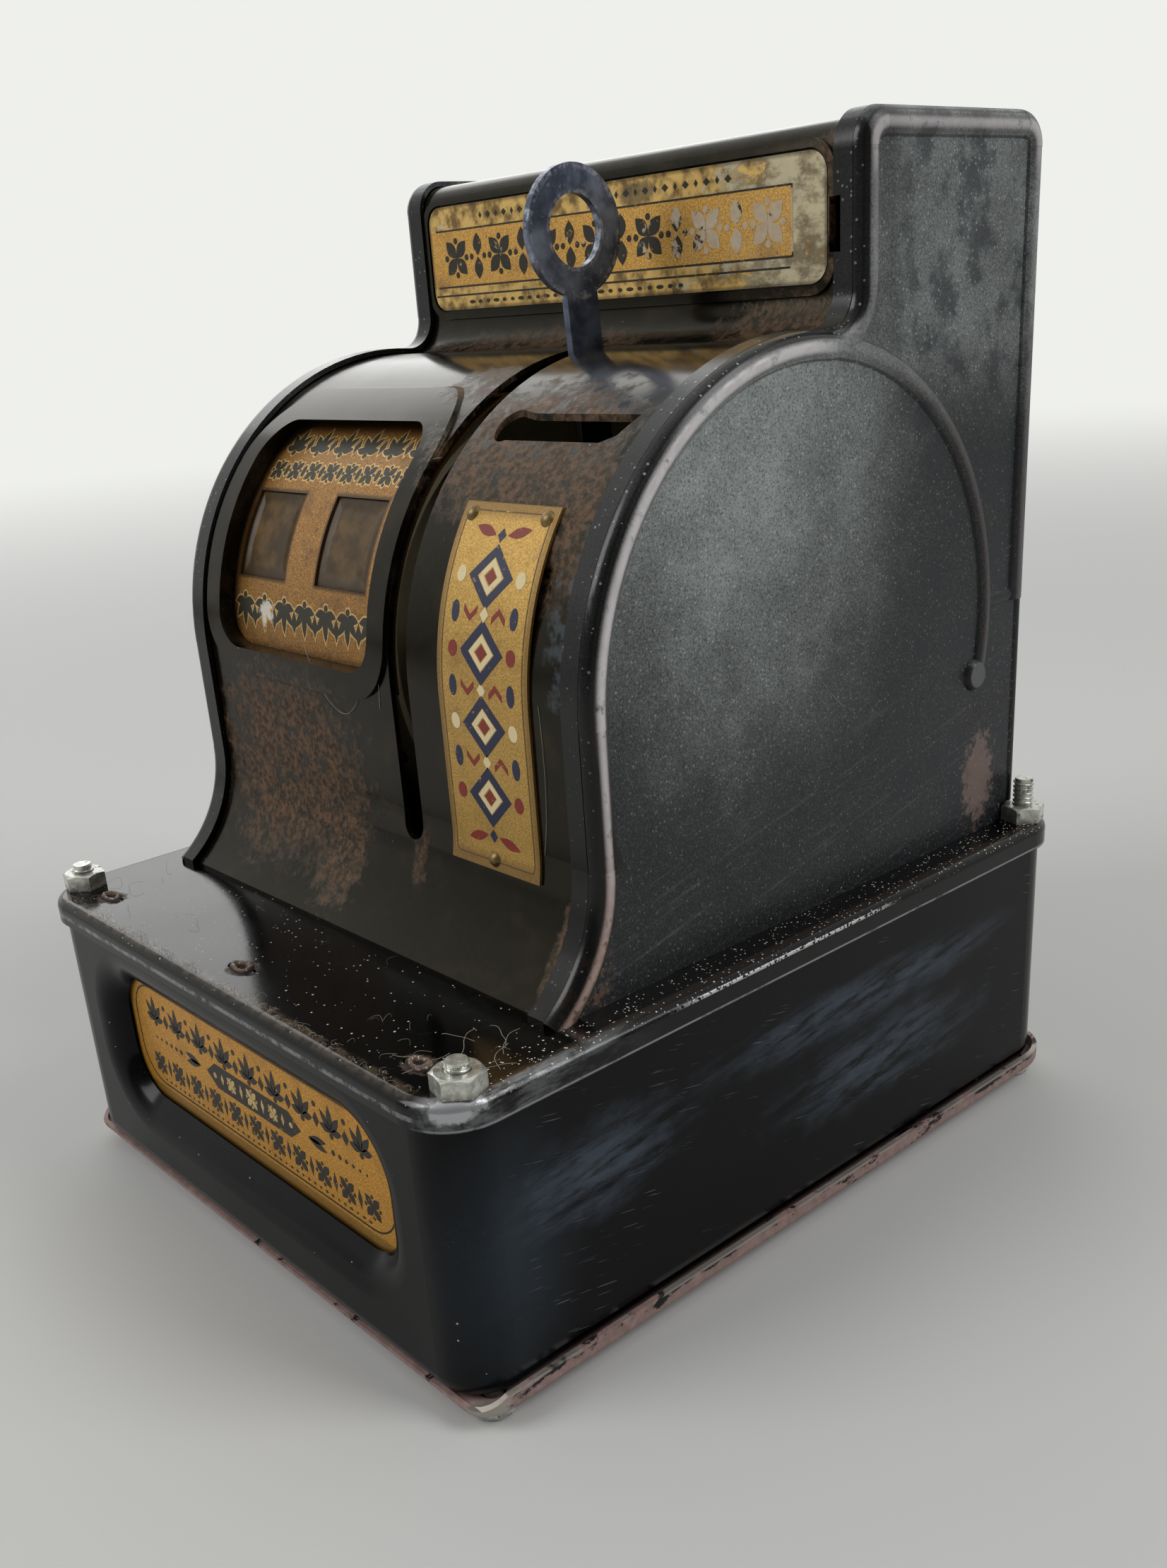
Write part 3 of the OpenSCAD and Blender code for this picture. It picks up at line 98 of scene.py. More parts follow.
def fade(value, low, high):
    """Rises softly from 0 to 1 between low and high, or falls where low is the larger."""
    if low > high:
        return calc("SUBTRACT", 1.0, fade(value, high, low))
    inputs = {0: value, 1: low, 2: high, 3: 0.0, 4: 1.0}
    return linked("ShaderNodeMapRange", inputs, interpolation_type="SMOOTHSTEP")


def distance(value, place):
    return calc("ABSOLUTE", calc("SUBTRACT", value, place))


def away(value, place, half):
    return calc("SUBTRACT", distance(value, place), half)


def near(value, place, half, soft):
    return fade(distance(value, place), half + soft, half)


def blend(factor, a, b):
    return linked("ShaderNodeMix", {0: factor, 2: a, 3: b})


def mix(factor, a, b):
    """A mix of two colours, each of them a paint chip or a pattern."""
    return linked("ShaderNodeMix", {0: factor, 6: paint(a), 7: paint(b)}, 2, data_type="RGBA")


class Finish:
    """One surface finish. Its patterns are measured in millimetres on the real piece."""

    def __init__(self, name, shine=0.5, metallic=0.0, sheen=(1, 1, 1)):
        self.material = bpy.data.materials.new(name)
        self.material.use_nodes = True
        self.tree = self.material.node_tree
        self.surface = self.tree.nodes["Principled BSDF"]
        self.surface.inputs["Specular IOR Level"].default_value = shine
        self.surface.inputs["Metallic"].default_value = metallic
        self.surface.inputs["Specular Tint"].default_value = (*sheen, 1)
        inputs = {0: self.add("ShaderNodeTexCoord").outputs["Object"], "Scale": 1000}
        self.where = linked("ShaderNodeVectorMath", inputs, operation="SCALE")
        self.x, self.y, self.z = self.add("ShaderNodeSeparateXYZ", {0: self.where}).outputs
        self.colour = self.normal = self.rough = self.metal = None

    def add(self, kind, inputs=None, **settings):
        return add_node(self.tree, kind, inputs, **settings)

    def moved(self, size, seed, stretch, turn):
        """The place in units of a pattern, turned by degrees and stretched along its axes."""
        inputs = {"Vector": self.where, "Rotation": [math.radians(a) for a in turn]}
        scaled = vector("MULTIPLY", linked("ShaderNodeMapping", inputs), [1 / (size * s) for s in stretch])
        return vector("ADD", scaled, (seed * 3.7, seed * 1.3, seed * 2.9))

    def noise(self, size, seed=0, detail=4, rough=0.55, stretch=(1, 1, 1), turn=(0, 0, 0)):
        inputs = {"Vector": self.moved(size, seed, stretch, turn), "Scale": 1.0}
        inputs.update({"Detail": detail, "Roughness": rough})
        return linked("ShaderNodeTexNoise", inputs, "Fac")

    def specks(self, cell, radius, share, seed=0):
        """Separate round specks, one in each cell that the share lets through."""
        inputs = {"Vector": self.moved(cell, seed, (1, 1, 1), (0, 0, 0)), "Scale": 1.0}
        cells = self.add("ShaderNodeTexVoronoi", inputs).outputs
        chance, size, _ = self.add("ShaderNodeSeparateColor", {0: cells["Color"]}).outputs
        reach = calc("MULTIPLY_ADD", size, 0.7 * radius / cell, 0.3 * radius / cell)
        inside = calc("LESS_THAN", cells["Distance"], reach)
        return both(inside, calc("LESS_THAN", chance, share))

    def patch(self, centre, reach, ragged=0.5, soft=0.4, seed=0, grain=2.5):
        """A blotch with a ragged edge round a place on the piece."""
        offset = vector("DIVIDE", vector("SUBTRACT", self.where, centre), reach)
        rag = self.noise(grain, seed=seed, detail=6, rough=0.65)
        inside = calc("SUBTRACT", vector("LENGTH", offset, output="Value"), ragged)
        return fade(calc("MULTIPLY_ADD", rag, 2 * ragged, inside), 1.0, 1.0 - soft)

    def outline(self, half_w, half_d, corner):
        """Distance from a rounded rectangle seen from above: negative inside."""
        size = (half_w - corner, half_d - corner, 1000.0)
        past = vector("SUBTRACT", vector("ABSOLUTE", self.where), size)
        outside = vector("LENGTH", vector("MAXIMUM", past), output="Value")
        dx, dy, _ = self.add("ShaderNodeSeparateXYZ", {0: past}).outputs
        inside = calc("MINIMUM", calc("MAXIMUM", dx, dy), 0.0)
        return calc("SUBTRACT", calc("ADD", outside, inside), corner)

    def over(self, colour, *masks):
        """Lays a colour over the finish, as far as all the masks let it."""
        self.colour = mix(both(*masks), self.colour, colour)

    def bump(self, height, depth, strength=1.0):
        inputs = {"Height": height, "Distance": depth / 1000, "Strength": strength}
        if self.normal:
            inputs["Normal"] = self.normal
        self.normal = linked("ShaderNodeBump", inputs)

    def done(self, rough=None, metal=None):
        """Links what the finish has come to. Its own roughness and metal hold unless given."""
        values = {"Base Color": self.colour, "Normal": self.normal}
        values.update({"Roughness": rough or self.rough, "Metallic": metal or self.metal})
        for key, value in values.items():
            if isinstance(value, bpy.types.NodeSocket):
                self.tree.links.new(value, self.surface.inputs[key])
            elif value is not None:
                self.surface.inputs[key].default_value = value


def dress(finish, *names):
    for name in names:
        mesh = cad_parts[name].data
        mesh.materials.clear()
        mesh.materials.append(finish.material)


tray = Finish("tray_primer", shine=0.3)
rim_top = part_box("bottom_plate")[1][2] * 1000
flakes = tray.noise(4.5, seed=2, detail=7, rough=0.7, stretch=(1, 2.2, 0.7))
kept = calc("ADD", flakes, both(fade(tray.z, rim_top - 2.2, rim_top - 0.2), 0.12))
tray.colour = mix(tray.noise(1.6, seed=1), (98, 78, 74), (170, 142, 136))
tray.over((15, 14, 15), fade(kept, 0.6, 0.64))
crest = both(fade(tray.z, rim_top - 0.55, rim_top - 0.25), fade(tray.noise(6, seed=3, detail=5), 0.42, 0.52))
corner_wear = tray.patch((56.5, -66, 3.5), (3.5, 5, 3), seed=4)
bare = either(both(crest, 0.8), both(corner_wear, 0.8))
tray.over((176, 170, 162), bare)
tray.bump(flakes, 0.08)
tray.done(blend(bare, 0.55, 0.34), both(bare, 0.85))
dress(tray, "bottom_plate")


# Box wall: one strip of steel bent round four corners and welded, in baked black gloss
# enamel. Its lower edge and the door's recess are rolled inwards.
def enamel(name, colour, wave_seed, rough, shine=0.35, sheen=(1, 1, 1)):
    """Baked enamel on thin pressed sheet: never quite flat, with fine peel and haze."""
    coat = Finish(name, shine=shine, sheen=sheen)
    coat.colour = colour
    haze = coat.noise(11, seed=wave_seed + 1, detail=6, rough=0.6)
    coat.rough = blend(haze, rough * 0.55, rough * 1.7)
    coat.bump(coat.noise(34, seed=wave_seed + 2, detail=1), 0.5, 0.6)
    coat.bump(coat.noise(0.9, seed=wave_seed + 3, detail=2), 0.012, 0.5)
    return coat


def scratched(coat, seed, amount, spread=16, turn=(12, 0, 0)):
    """Short hair-thin scratches, gathered in places, all running roughly one way."""
    scratches = coat.noise(0.17, seed=seed, detail=1, stretch=(0.5, 40, 1), turn=turn)
    gathered = fade(coat.noise(spread, seed=seed + 1, detail=2), 0.5, 0.62)
    coat.over((96, 104, 110), fade(scratches, 0.7, 0.76), gathered, amount)


box = enamel("box_enamel", (3, 3, 5), 10, rough=0.17, shine=0.16)
# Painted reflection: a soft bluish-grey sheen laid into the colour near the front corner of the right side.
blue_tint = box.patch((54, -58, 24), (8, 14, 26), ragged=0.2, soft=0.95, seed=17, grain=12)
box.over((52, 64, 74), blue_tint, 0.5)
rubbed_along = either(
    box.patch((56, 14, 34), (9, 46, 5.5), ragged=0.3, soft=0.8, seed=14, grain=8),
    box.patch((56, -42, 30), (9, 22, 9), ragged=0.4, soft=0.9, seed=15, grain=8),
    box.patch((56, 20, 22), (9, 34, 9), ragged=0.4, soft=0.9, seed=16, grain=8),
)
smear = box.noise(1.9, seed=5, detail=8, rough=0.7, stretch=(1, 7, 1), turn=(-5, 0, 0))
smear = both(fade(smear, 0.36, 0.62), fade(box.x, 54.5, 56), rubbed_along)
box.over((74, 84, 96), smear, 0.7)
scratched(box, 7, 0.75, spread=12)
dusty = box.specks(2.2, 0.17, 0.26, seed=6)
box.over((176, 176, 170), dusty)
low_wear = both(near(box.z, 3.6, 0.25, 0.35), fade(box.noise(7, seed=8), 0.44, 0.56))
box.over((120, 104, 94), low_wear, 0.7)
box.done(either(blend(smear, box.rough, 0.5), both(dusty, 0.8)))
dress(box, "base_box")


# Lid: a pressed cover with a short turned-down rim, stove enamelled like the box. Dust has
# settled on it, lint hangs on the front edge and the right edge is rubbed to bare steel.
LID_TOP, TAB_Y = 49.1, -61.35
TAB_PLACES = (-43.5, 0.0, 44.5)
lid = enamel("lid_enamel", (4, 4, 4), 20, rough=0.12, shine=0.26)
edge = lid.outline(57.4, 68.25, 8.8)
on_top = fade(lid.z, LID_TOP - 1.2, LID_TOP - 0.3)
front_band = both(near(lid.y, -66.6, 0.5, 1.1), fade(lid.noise(1.6, seed=21, detail=6), 0.36, 0.62), on_top)
lid.over((86, 74, 60), front_band, 0.6)
ledge_roll = both(near(edge, -1.8, 0.4, 0.7), fade(lid.x, 48, 55), on_top)
lid.over((74, 62, 52), ledge_roll, 0.3)
ragged = lid.noise(2.4, seed=22, detail=7, rough=0.72, stretch=(1, 3.5, 1))
right_edge = fade(lid.x, 50, 54)
sheen = both(near(edge, -0.9, 0.5, 0.7), right_edge, fade(lid.y, -28, -62), fade(ragged, 0.36, 0.6), 0.6)
hairline = both(
    near(lid.z, 48.15, 0.17, 0.1), right_edge, near(lid.y, -4, 18, 8), fade(ragged, 0.36, 0.42),
    fade(lid.noise(0.5, seed=18, detail=3), 0.42, 0.48),
)
front_line = both(near(lid.z, 46.6, 0.2, 0.3), fade(lid.y, -67.6, -68), fade(ragged, 0.4, 0.6), 0.4)
low_line = both(
    near(lid.z, LID_TOP - 3.75, 0.08, 0.12), right_edge, fade(ragged, 0.34, 0.5), fade(edge, -0.5, -0.2), 0.5
)
corner_worn = both(lid.patch((56, -65.5, 48.0), (4.2, 5.2, 2), seed=23, ragged=0.7), 0.9)
bare = either(sheen, hairline, front_line, low_line, corner_worn)
rust = either(*(
    lid.patch((x, TAB_Y, LID_TOP), (3.3, 2.4, 2), seed=24 + i, grain=1.2) for i, x in enumerate(TAB_PLACES)
))
lid.over(mix(lid.noise(0.7, seed=27), (34, 24, 18), (92, 66, 50)), rust)
scratched(lid, 28, 0.35, turn=(0, 0, 25))
lid.over((188, 190, 192), bare)
share = calc("MULTIPLY_ADD", fade(lid.x, 50, 52), 0.7, 0.12)
fine_dust, big_dust = lid.specks(0.6, 0.16, share, seed=29), lid.specks(3.4, 0.2, 0.2, seed=30)
dust = either(both(fine_dust, on_top), both(big_dust, on_top))
lid.over((212, 208, 196), dust, 0.85)
lid.bump(rust, 0.12)
lid.done(either(blend(bare, lid.rough, 0.3), both(rust, 0.75), both(dust, 0.9)), both(bare, 0.8))
dress(lid, "base_lid")


# Tabs of the door's hanger: they come up through three slots in the lid and were hammered
# over. The steel has torn and rusted into a small lump with a hollow in it.
def piece(name, mesh, finish, body="housing", smooth=False):
    """Puts a finished mesh into the scene and fixes it to its body."""
    thing = bpy.data.objects.new(name, mesh)
    scene.collection.objects.link(thing)
    mesh.materials.clear()
    mesh.materials.append(finish.material)
    if smooth:
        mesh.shade_smooth()
    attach(thing, body)
    return thing


def solid(verts, faces):
    """A closed mesh from points in millimetres, with its faces turned outwards."""
    mesh = bpy.data.meshes.new("solid")
    mesh.from_pydata([[c / 1000 for c in v] for v in verts], [], faces)
    work = bmesh.new()
    work.from_mesh(mesh)
    bmesh.ops.remove_doubles(work, verts=work.verts, dist=1e-7)
    bmesh.ops.recalc_face_normals(work, faces=work.faces)
    work.to_mesh(mesh)
    work.free()
    return mesh


def torn_lump(x, y, half_w, half_d, seed):
    chance = random.Random(seed)
    rings, spokes = 7, 26
    verts, faces = [(x, y, LID_TOP + 0.12)], []
    lean = chance.uniform(-0.5, 0.5)
    for ring in range(1, rings + 1):
        r = ring / rings
        for spoke in range(spokes):
            a = 2 * math.pi * spoke / spokes
            wobble = 1 + 0.1 * math.sin(3 * a + seed) + chance.uniform(-0.05, 0.05) * r
            lip = 0.6 * math.exp(-(((r - 0.66) / 0.2) ** 2)) * (1 + lean * math.cos(a))
            height = 0.1 + lip + chance.uniform(-0.06, 0.06)
            height = -0.05 if ring == rings else height * (1 - r ** 8)
            verts.append((
                x + half_w * r * wobble * math.cos(a),
                y + half_d * r * wobble * math.sin(a),
                LID_TOP + height,
            ))
    for spoke in range(spokes):
        after = (spoke + 1) % spokes
        faces.append((0, 1 + spoke, 1 + after))
        for ring in range(rings - 1):
            low, high = 1 + ring * spokes, 1 + (ring + 1) * spokes
            faces.append((low + spoke, high + spoke, high + after, low + after))
    faces.append(tuple(1 + (rings - 1) * spokes + spoke for spoke in reversed(range(spokes))))
    return solid(verts, faces)


rusty = Finish("rusted_tab", shine=0.3)
scale = rusty.noise(0.55, seed=41, detail=6, rough=0.7)
hollow = fade(rusty.z, LID_TOP + 0.15, LID_TOP + 0.5)
# Painted shade: the lump's low middle and its foot stay near black; the rusted crust lies only on its raised
# lip.
rusty.colour = (20, 12, 9)
rusty.over(mix(scale, (50, 36, 28), (146, 122, 104)), hollow)
bright = both(fade(rusty.noise(0.5, seed=42), 0.56, 0.62), hollow)
rusty.over((214, 206, 196), bright, 0.7)
rusty.bump(scale, 0.25)
rusty.done(0.62, both(bright, 0.5))
for number, x in enumerate(TAB_PLACES):
    lump = torn_lump(x, TAB_Y, 2.5, 1.6, 3 + number)
    piece(f"torn_tab_{number + 1}", lump, rusty)


# Box screws: four long zinc plated pan head screws. Their heads are the bank's feet, and
# their threads stand out above the lid. The nuts are hexagonal, chamfered on top.
def turned(profile, spokes=48):
    """A solid of revolution about the upright axis, from (radius, height) points."""
    verts, faces, rows = [], [], []
    for radius, height in profile:
        if radius == 0:
            rows.append([len(verts)])
            verts.append((0, 0, height))
            continue
        rows.append(list(range(len(verts), len(verts) + spokes)))
        for spoke in range(spokes):
            a = 2 * math.pi * spoke / spokes
            verts.append((radius * math.cos(a), radius * math.sin(a), height))
    for low, high in zip(rows, rows[1:]):
        for spoke in range(spokes):
            after = (spoke + 1) % spokes
            corners = [low[spoke % len(low)], low[after % len(low)]]
            corners += [high[after % len(high)], high[spoke % len(high)]]
            faces.append(tuple(dict.fromkeys(corners)))
    return solid(verts, faces)


def baked(thing):
    """The plain mesh that an object's modifiers or curve settings give."""
    scene.collection.objects.link(thing)
    graph = bpy.context.evaluated_depsgraph_get()
    mesh = bpy.data.meshes.new_from_object(thing.evaluated_get(graph))
    bpy.data.objects.remove(thing)
    return mesh


def cut(mesh, tool, operation):
    """One boolean step between two closed meshes."""
    thing, other = (bpy.data.objects.new("step", data) for data in (mesh, tool))
    scene.collection.objects.link(other)
    step = thing.modifiers.new("cut", "BOOLEAN")
    step.operation, step.object = operation, other
    result = baked(thing)
    bpy.data.objects.remove(other)
    return result


def block(low, high):
    """An axis-aligned block between two corners, in millimetres."""
    faces = [(0, 1, 3, 2), (4, 6, 7, 5), (0, 4, 5, 1), (2, 3, 7, 6), (0, 2, 6, 4), (1, 5, 7, 3)]
    return solid(list(product(*zip(low, high))), faces)


class Recipe:
    """A Geometry Nodes tree: a mesh and named sizes go in, one plain mesh comes out."""

    def __init__(self, name, **sizes):
        self.tree = bpy.data.node_groups.new(name, "GeometryNodeTree")
        new_socket = self.tree.interface.new_socket
        new_socket("Geometry", in_out="INPUT", socket_type="NodeSocketGeometry")
        for size, value in sizes.items():
            kind = "NodeSocketInt" if isinstance(value, int) else "NodeSocketFloat"
            new_socket(size, in_out="INPUT", socket_type=kind).default_value = value
        new_socket("material", in_out="INPUT", socket_type="NodeSocketMaterial")
        new_socket("Geometry", in_out="OUTPUT", socket_type="NodeSocketGeometry")
        self.given = self.tree.nodes.new("NodeGroupInput").outputs

    def add(self, kind, inputs=None, output=0, **settings):
        return add_node(self.tree, kind, inputs, **settings).outputs[output]

    def xyz(self, x=0.0, y=0.0, z=0.0):
        return self.add("ShaderNodeCombineXYZ", {0: x, 1: y, 2: z})

    def raised(self, geometry, z):
        return self.add("GeometryNodeTransform", {"Geometry": geometry, "Translation": self.xyz(z=z)})

    def swept(self, line, corners, radius):
        """A rod along a line, with so many corners round it."""
        ring = self.add("GeometryNodeCurvePrimitiveCircle", {"Resolution": corners, "Radius": radius})
        inputs = {"Curve": line, "Profile Curve": ring, "Fill Caps": True}
        return self.add("GeometryNodeCurveToMesh", inputs)

    def together(self, *geometries):
        join = self.tree.nodes.new("GeometryNodeJoinGeometry")
        for geometry in geometries:
            self.tree.links.new(geometry, join.inputs[0])
        return join.outputs[0]

    def copies(self, points, instance, **inputs):
        inputs.update({"Points": points, "Instance": instance})
        return self.add("GeometryNodeInstanceOnPoints", inputs)

    def end(self, geometry):
        inputs = {"Geometry": self.add("GeometryNodeRealizeInstances", {0: geometry})}
        inputs["Material"] = self.given["material"]
        add_node(self.tree, "NodeGroupOutput", {0: self.add("GeometryNodeSetMaterial", inputs)})

    def make(self, mesh, **sizes):
        source = bpy.data.objects.new("source", mesh)
        step = source.modifiers.new("recipe", "NODES")
        step.node_group = self.tree
        for item in self.tree.interface.items_tree:
            if item.in_out == "INPUT" and item.name in sizes:
                step[item.identifier] = sizes[item.name]
        return baked(source)


zinc = Finish("zinc_plating", shine=0.6)
grey = zinc.noise(1.3, seed=51, detail=5)
dirt_low = both(fade(zinc.z, LID_TOP + 1.3, LID_TOP - 0.2), fade(zinc.z, 30, 40))
dirt = either(
    fade(zinc.noise(1.1, seed=52, detail=6, rough=0.7), 0.56, 0.68),
    both(dirt_low, fade(zinc.noise(0.8, seed=53), 0.3, 0.6)),
)
zinc.colour = mix(fade(grey, 0.3, 0.7), (166, 166, 156), (216, 217, 210))
zinc.over((84, 68, 50), dirt, 0.85)
zinc.bump(grey, 0.05)
zinc.bump(dirt, 0.06)
zinc.done(blend(dirt, 0.28, 0.75), calc("MULTIPLY_ADD", dirt, -0.65, 0.75))

spread, depth = 0.053, 0.0616
head = turned([(0, 0), (2.5, 0), (3.2, 0.35), (3.5, 1.0), (3.5, 2.2), (0, 2.2)])
head = cut(head, block((-4, -0.45, -1), (4, 0.45, 0.75)), "DIFFERENCE")
screws = Recipe("four_screws", half_spread=spread, half_depth=depth, front_top=0.0, back_top=0.0)
pitch, turns, core_r, ridge_r, shank_low = 0.0008, 18, 0.00147, 0.00026, 0.002
spiral = {"Resolution": 20, "Start Radius": core_r, "End Radius": core_r}
spiral.update({"Rotations": float(turns), "Height": turns * pitch})
thread = screws.swept(screws.add("GeometryNodeCurveSpiral", spiral), 4, ridge_r)
pairs = []
for side, top in ((-1, screws.given["front_top"]), (1, screws.given["back_top"])):
    length = calc("SUBTRACT", top, shank_low)
    shank = screws.add("GeometryNodeMeshCylinder", {"Vertices": 24, "Radius": core_r, "Depth": length})
    shank = screws.raised(shank, calc("MULTIPLY_ADD", length, 0.5, shank_low))
    worm = screws.raised(thread, calc("SUBTRACT", top, turns * pitch + 0.0003))
    one = screws.together(shank, worm, screws.given["Geometry"])
    row = calc("MULTIPLY", screws.given["half_depth"], side)
    left = calc("MULTIPLY", screws.given["half_spread"], -1.0)
    inputs = {"Count": 2, "Start Location": screws.xyz(left, row)}
    inputs["Offset"] = screws.xyz(screws.given["half_spread"], row)
    pairs.append(screws.copies(screws.add("GeometryNodeMeshLine", inputs, mode="END_POINTS"), one))
screws.end(screws.together(*pairs))
four = screws.make(head, front_top=0.0531, back_top=0.0565, material=zinc.material)
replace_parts(piece("threaded_screws", four, zinc), "base_screws")

flats, nut_h, nut_turn = 6.35, 2.7, -12
ring = [math.radians(60 * i + nut_turn) for i in range(6)]
ring = [(flats / math.sqrt(3) * math.cos(a), flats / math.sqrt(3) * math.sin(a)) for a in ring]
verts = [(x, y, LID_TOP + h) for h in (0, nut_h) for x, y in ring]
faces = [tuple(reversed(range(6))), tuple(range(6, 12))]
faces += [(i, (i + 1) % 6, 6 + (i + 1) % 6, 6 + i) for i in range(6)]
lens = [(0, -0.2), (3.45, -0.2), (3.9, 0.3), (3.9, 2.2), (2.95, 2.72), (1.9, 2.72), (1.5, 2.4), (0, 2.4)]
lens = turned([(r, LID_TOP + h) for r, h in lens], spokes=72)
nuts = Recipe("four_corners", half_spread=spread, half_depth=depth)
grid = {"Size X": calc("MULTIPLY", nuts.given["half_spread"], 2.0), "Vertices X": 2}
grid.update({"Size Y": calc("MULTIPLY", nuts.given["half_depth"], 2.0), "Vertices Y": 2})
nuts.end(nuts.copies(nuts.add("GeometryNodeMeshGrid", grid), nuts.given["Geometry"]))
four = nuts.make(cut(solid(verts, faces), lens, "INTERSECT"), material=zinc.material)
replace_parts(piece("chamfered_nuts", four, zinc), "base_nuts")


# Coin door: the printed gold panel that shows in the recess. It is tinplate with a gold
# lacquer, and hangs from a wire pin in the ears of a strip under the lid.
def gilt(name, dark, light, seed, brown, metallic=0.55):
    """Gold lacquer on tinplate: a fine sparkling grain, brown clouds and pinholes."""
    tin = Finish(name, shine=0.4)
    grain = tin.noise(0.24, seed=seed, detail=2, rough=0.7)
    clouds = tin.noise(7, seed=seed + 1, detail=6, rough=0.62)
    browned = both(fade(clouds, 0.5, 0.72), brown)
    pits = either(tin.specks(1.5, 0.16, 0.3, seed=seed + 2), tin.specks(5, 0.4, 0.3, seed=seed + 3))
    tin.colour = mix(fade(grain, 0.32, 0.68), dark, light)
    tin.over((92, 62, 34), browned)
    tin.over((58, 40, 26), pits, 0.8)
    tin.bump(grain, 0.02, 0.7)
    tin.bump(clouds, 0.12, 0.5)
    tin.rough = blend(browned, 0.38, 0.62)
    tin.metal = calc("MULTIPLY_ADD", either(pits, browned), -metallic, metallic)
    return tin


DOOR_FACE, DOOR_MID = -63.3351, 27.2
door_gold = gilt("door_gilt", (158, 104, 30), (232, 172, 64), 60, brown=0.35)
strip = fade(door_gold.z, 18.3, 17.9)
door_gold.over((96, 80, 44), strip, 0.55)
panel_gold, door_gold.colour = door_gold.colour, (44, 34, 22)
door_gold.over(panel_gold, near(door_gold.z, DOOR_MID, 10.2, 1.6), near(door_gold.x, 0, 38.2, 1.8))
door_gold.done()
dress(door_gold, "coin_door")


def rounded(width, height, corner, u=0.0, v=0.0, steps=8):
    """Outline of a rounded rectangle, anticlockwise."""
    loop = []
    for quarter, (sx, sy) in enumerate(((1, 1), (-1, 1), (-1, -1), (1, -1))):
        for step in range(steps + 1):
            a = math.radians(90 * quarter + 90 * step / steps)
            loop.append((
                u + sx * (width / 2 - corner) + corner * math.cos(a),
                v + sy * (height / 2 - corner) + corner * math.sin(a),
            ))
    return loop


def band(outer, inner):
    """The strip between two outlines with the same number of points."""
    count = len(outer)
    pairs = ((i, (i + 1) % count) for i in range(count))
    return [[outer[i], outer[j], inner[j], inner[i]] for i, j in pairs]


def oval(u, v, half_w, half_h=None, points=24):
    half_h = half_h or half_w
    angles = (2 * math.pi * i / points for i in range(points))
    return [(u + half_w * math.cos(a), v + half_h * math.sin(a)) for a in angles]


def bar(u, v, width, height):
    w, h = width / 2, height / 2
    return [(u - w, v - h), (u + w, v - h), (u + w, v + h), (u - w, v + h)]


def lozenge(u, v, width, height):
    return [(u, v - height / 2), (u + width / 2, v), (u, v + height / 2), (u - width / 2, v)]


def chevron(u, v, width, height, thick):
    """A roof shape pointing up, or down where the height is negative."""
    w, h, t = width / 2, height / 2, math.copysign(thick, height)
    low, high = v - h + t, v + h - t
    loop = [(u - w, v - h), (u, high), (u + w, v - h), (u + w, low), (u, v + h), (u - w, low)]
    return loop if height > 0 else loop[::-1]


def leaf(u, v, length, width, turn):
    """A pointed leaf that grows from a point, in the direction of its turn in degrees."""
    c, s = math.cos(math.radians(turn)), math.sin(math.radians(turn))
    steps = [(t / 6, -1) for t in range(7)] + [(t / 6, 1) for t in range(5, 0, -1)]
    spots = [(length * t, side * width / 2 * math.sin(math.pi * t)) for t, side in steps]
    return [(u + a * c - b * s, v + a * s + b * c) for a, b in spots]


def palmette(u, v, size, way=1):
    """A fan of five leaves over a dot, standing up or hanging down."""
    low = v - way * size * 0.34
    fan = [leaf(u, low, size * long, size * 0.26, way * (90 + turn))
           for turn, long in ((0, 0.86), (38, 0.74), (-38, 0.74), (78, 0.55), (-78, 0.55))]
    return fan + [oval(u, low - way * size * 0.12, size * 0.1, points=12)]


def rosette(u, v, size):
    """Four leaves round a middle, with dots between them."""
    leaves = [leaf(u, v, size / 2, size * 0.3, turn) for turn in (45, 135, 225, 315)]
    spread = size * 0.36
    dots = [oval(u + spread * math.cos(a), v + spread * math.sin(a), size * 0.07, points=10)
            for a in (0, math.pi / 2, math.pi, 1.5 * math.pi)]
    return leaves + dots


def spindle(u, v, height, width):
    """Two leaves tip to tip, with a bead on each side."""
    pair = [leaf(u, v + 0.1, height / 2 - 0.1, width, 90), leaf(u, v - 0.1, height / 2 - 0.1, width, -90)]
    return pair + [oval(u + side * width * 0.75, v, width * 0.22, points=12) for side in (-1, 1)]


def grown(loop, by):
    """The outline moved outwards by a distance."""
    count, result = len(loop), []
    for i in range(count):
        before, here, after = Vector(loop[i - 1]), Vector(loop[i]), Vector(loop[(i + 1) % count])
        first, second = (here - before).normalized(), (after - here).normalized()
        n1, n2 = Vector((first.y, -first.x)), Vector((second.y, -second.x))
        middle = (n1 + n2).normalized()
        reach = min(by / max(middle.dot(n1), 0.3), 2.5 * by)
        result.append(tuple(here + middle * reach))
    return result


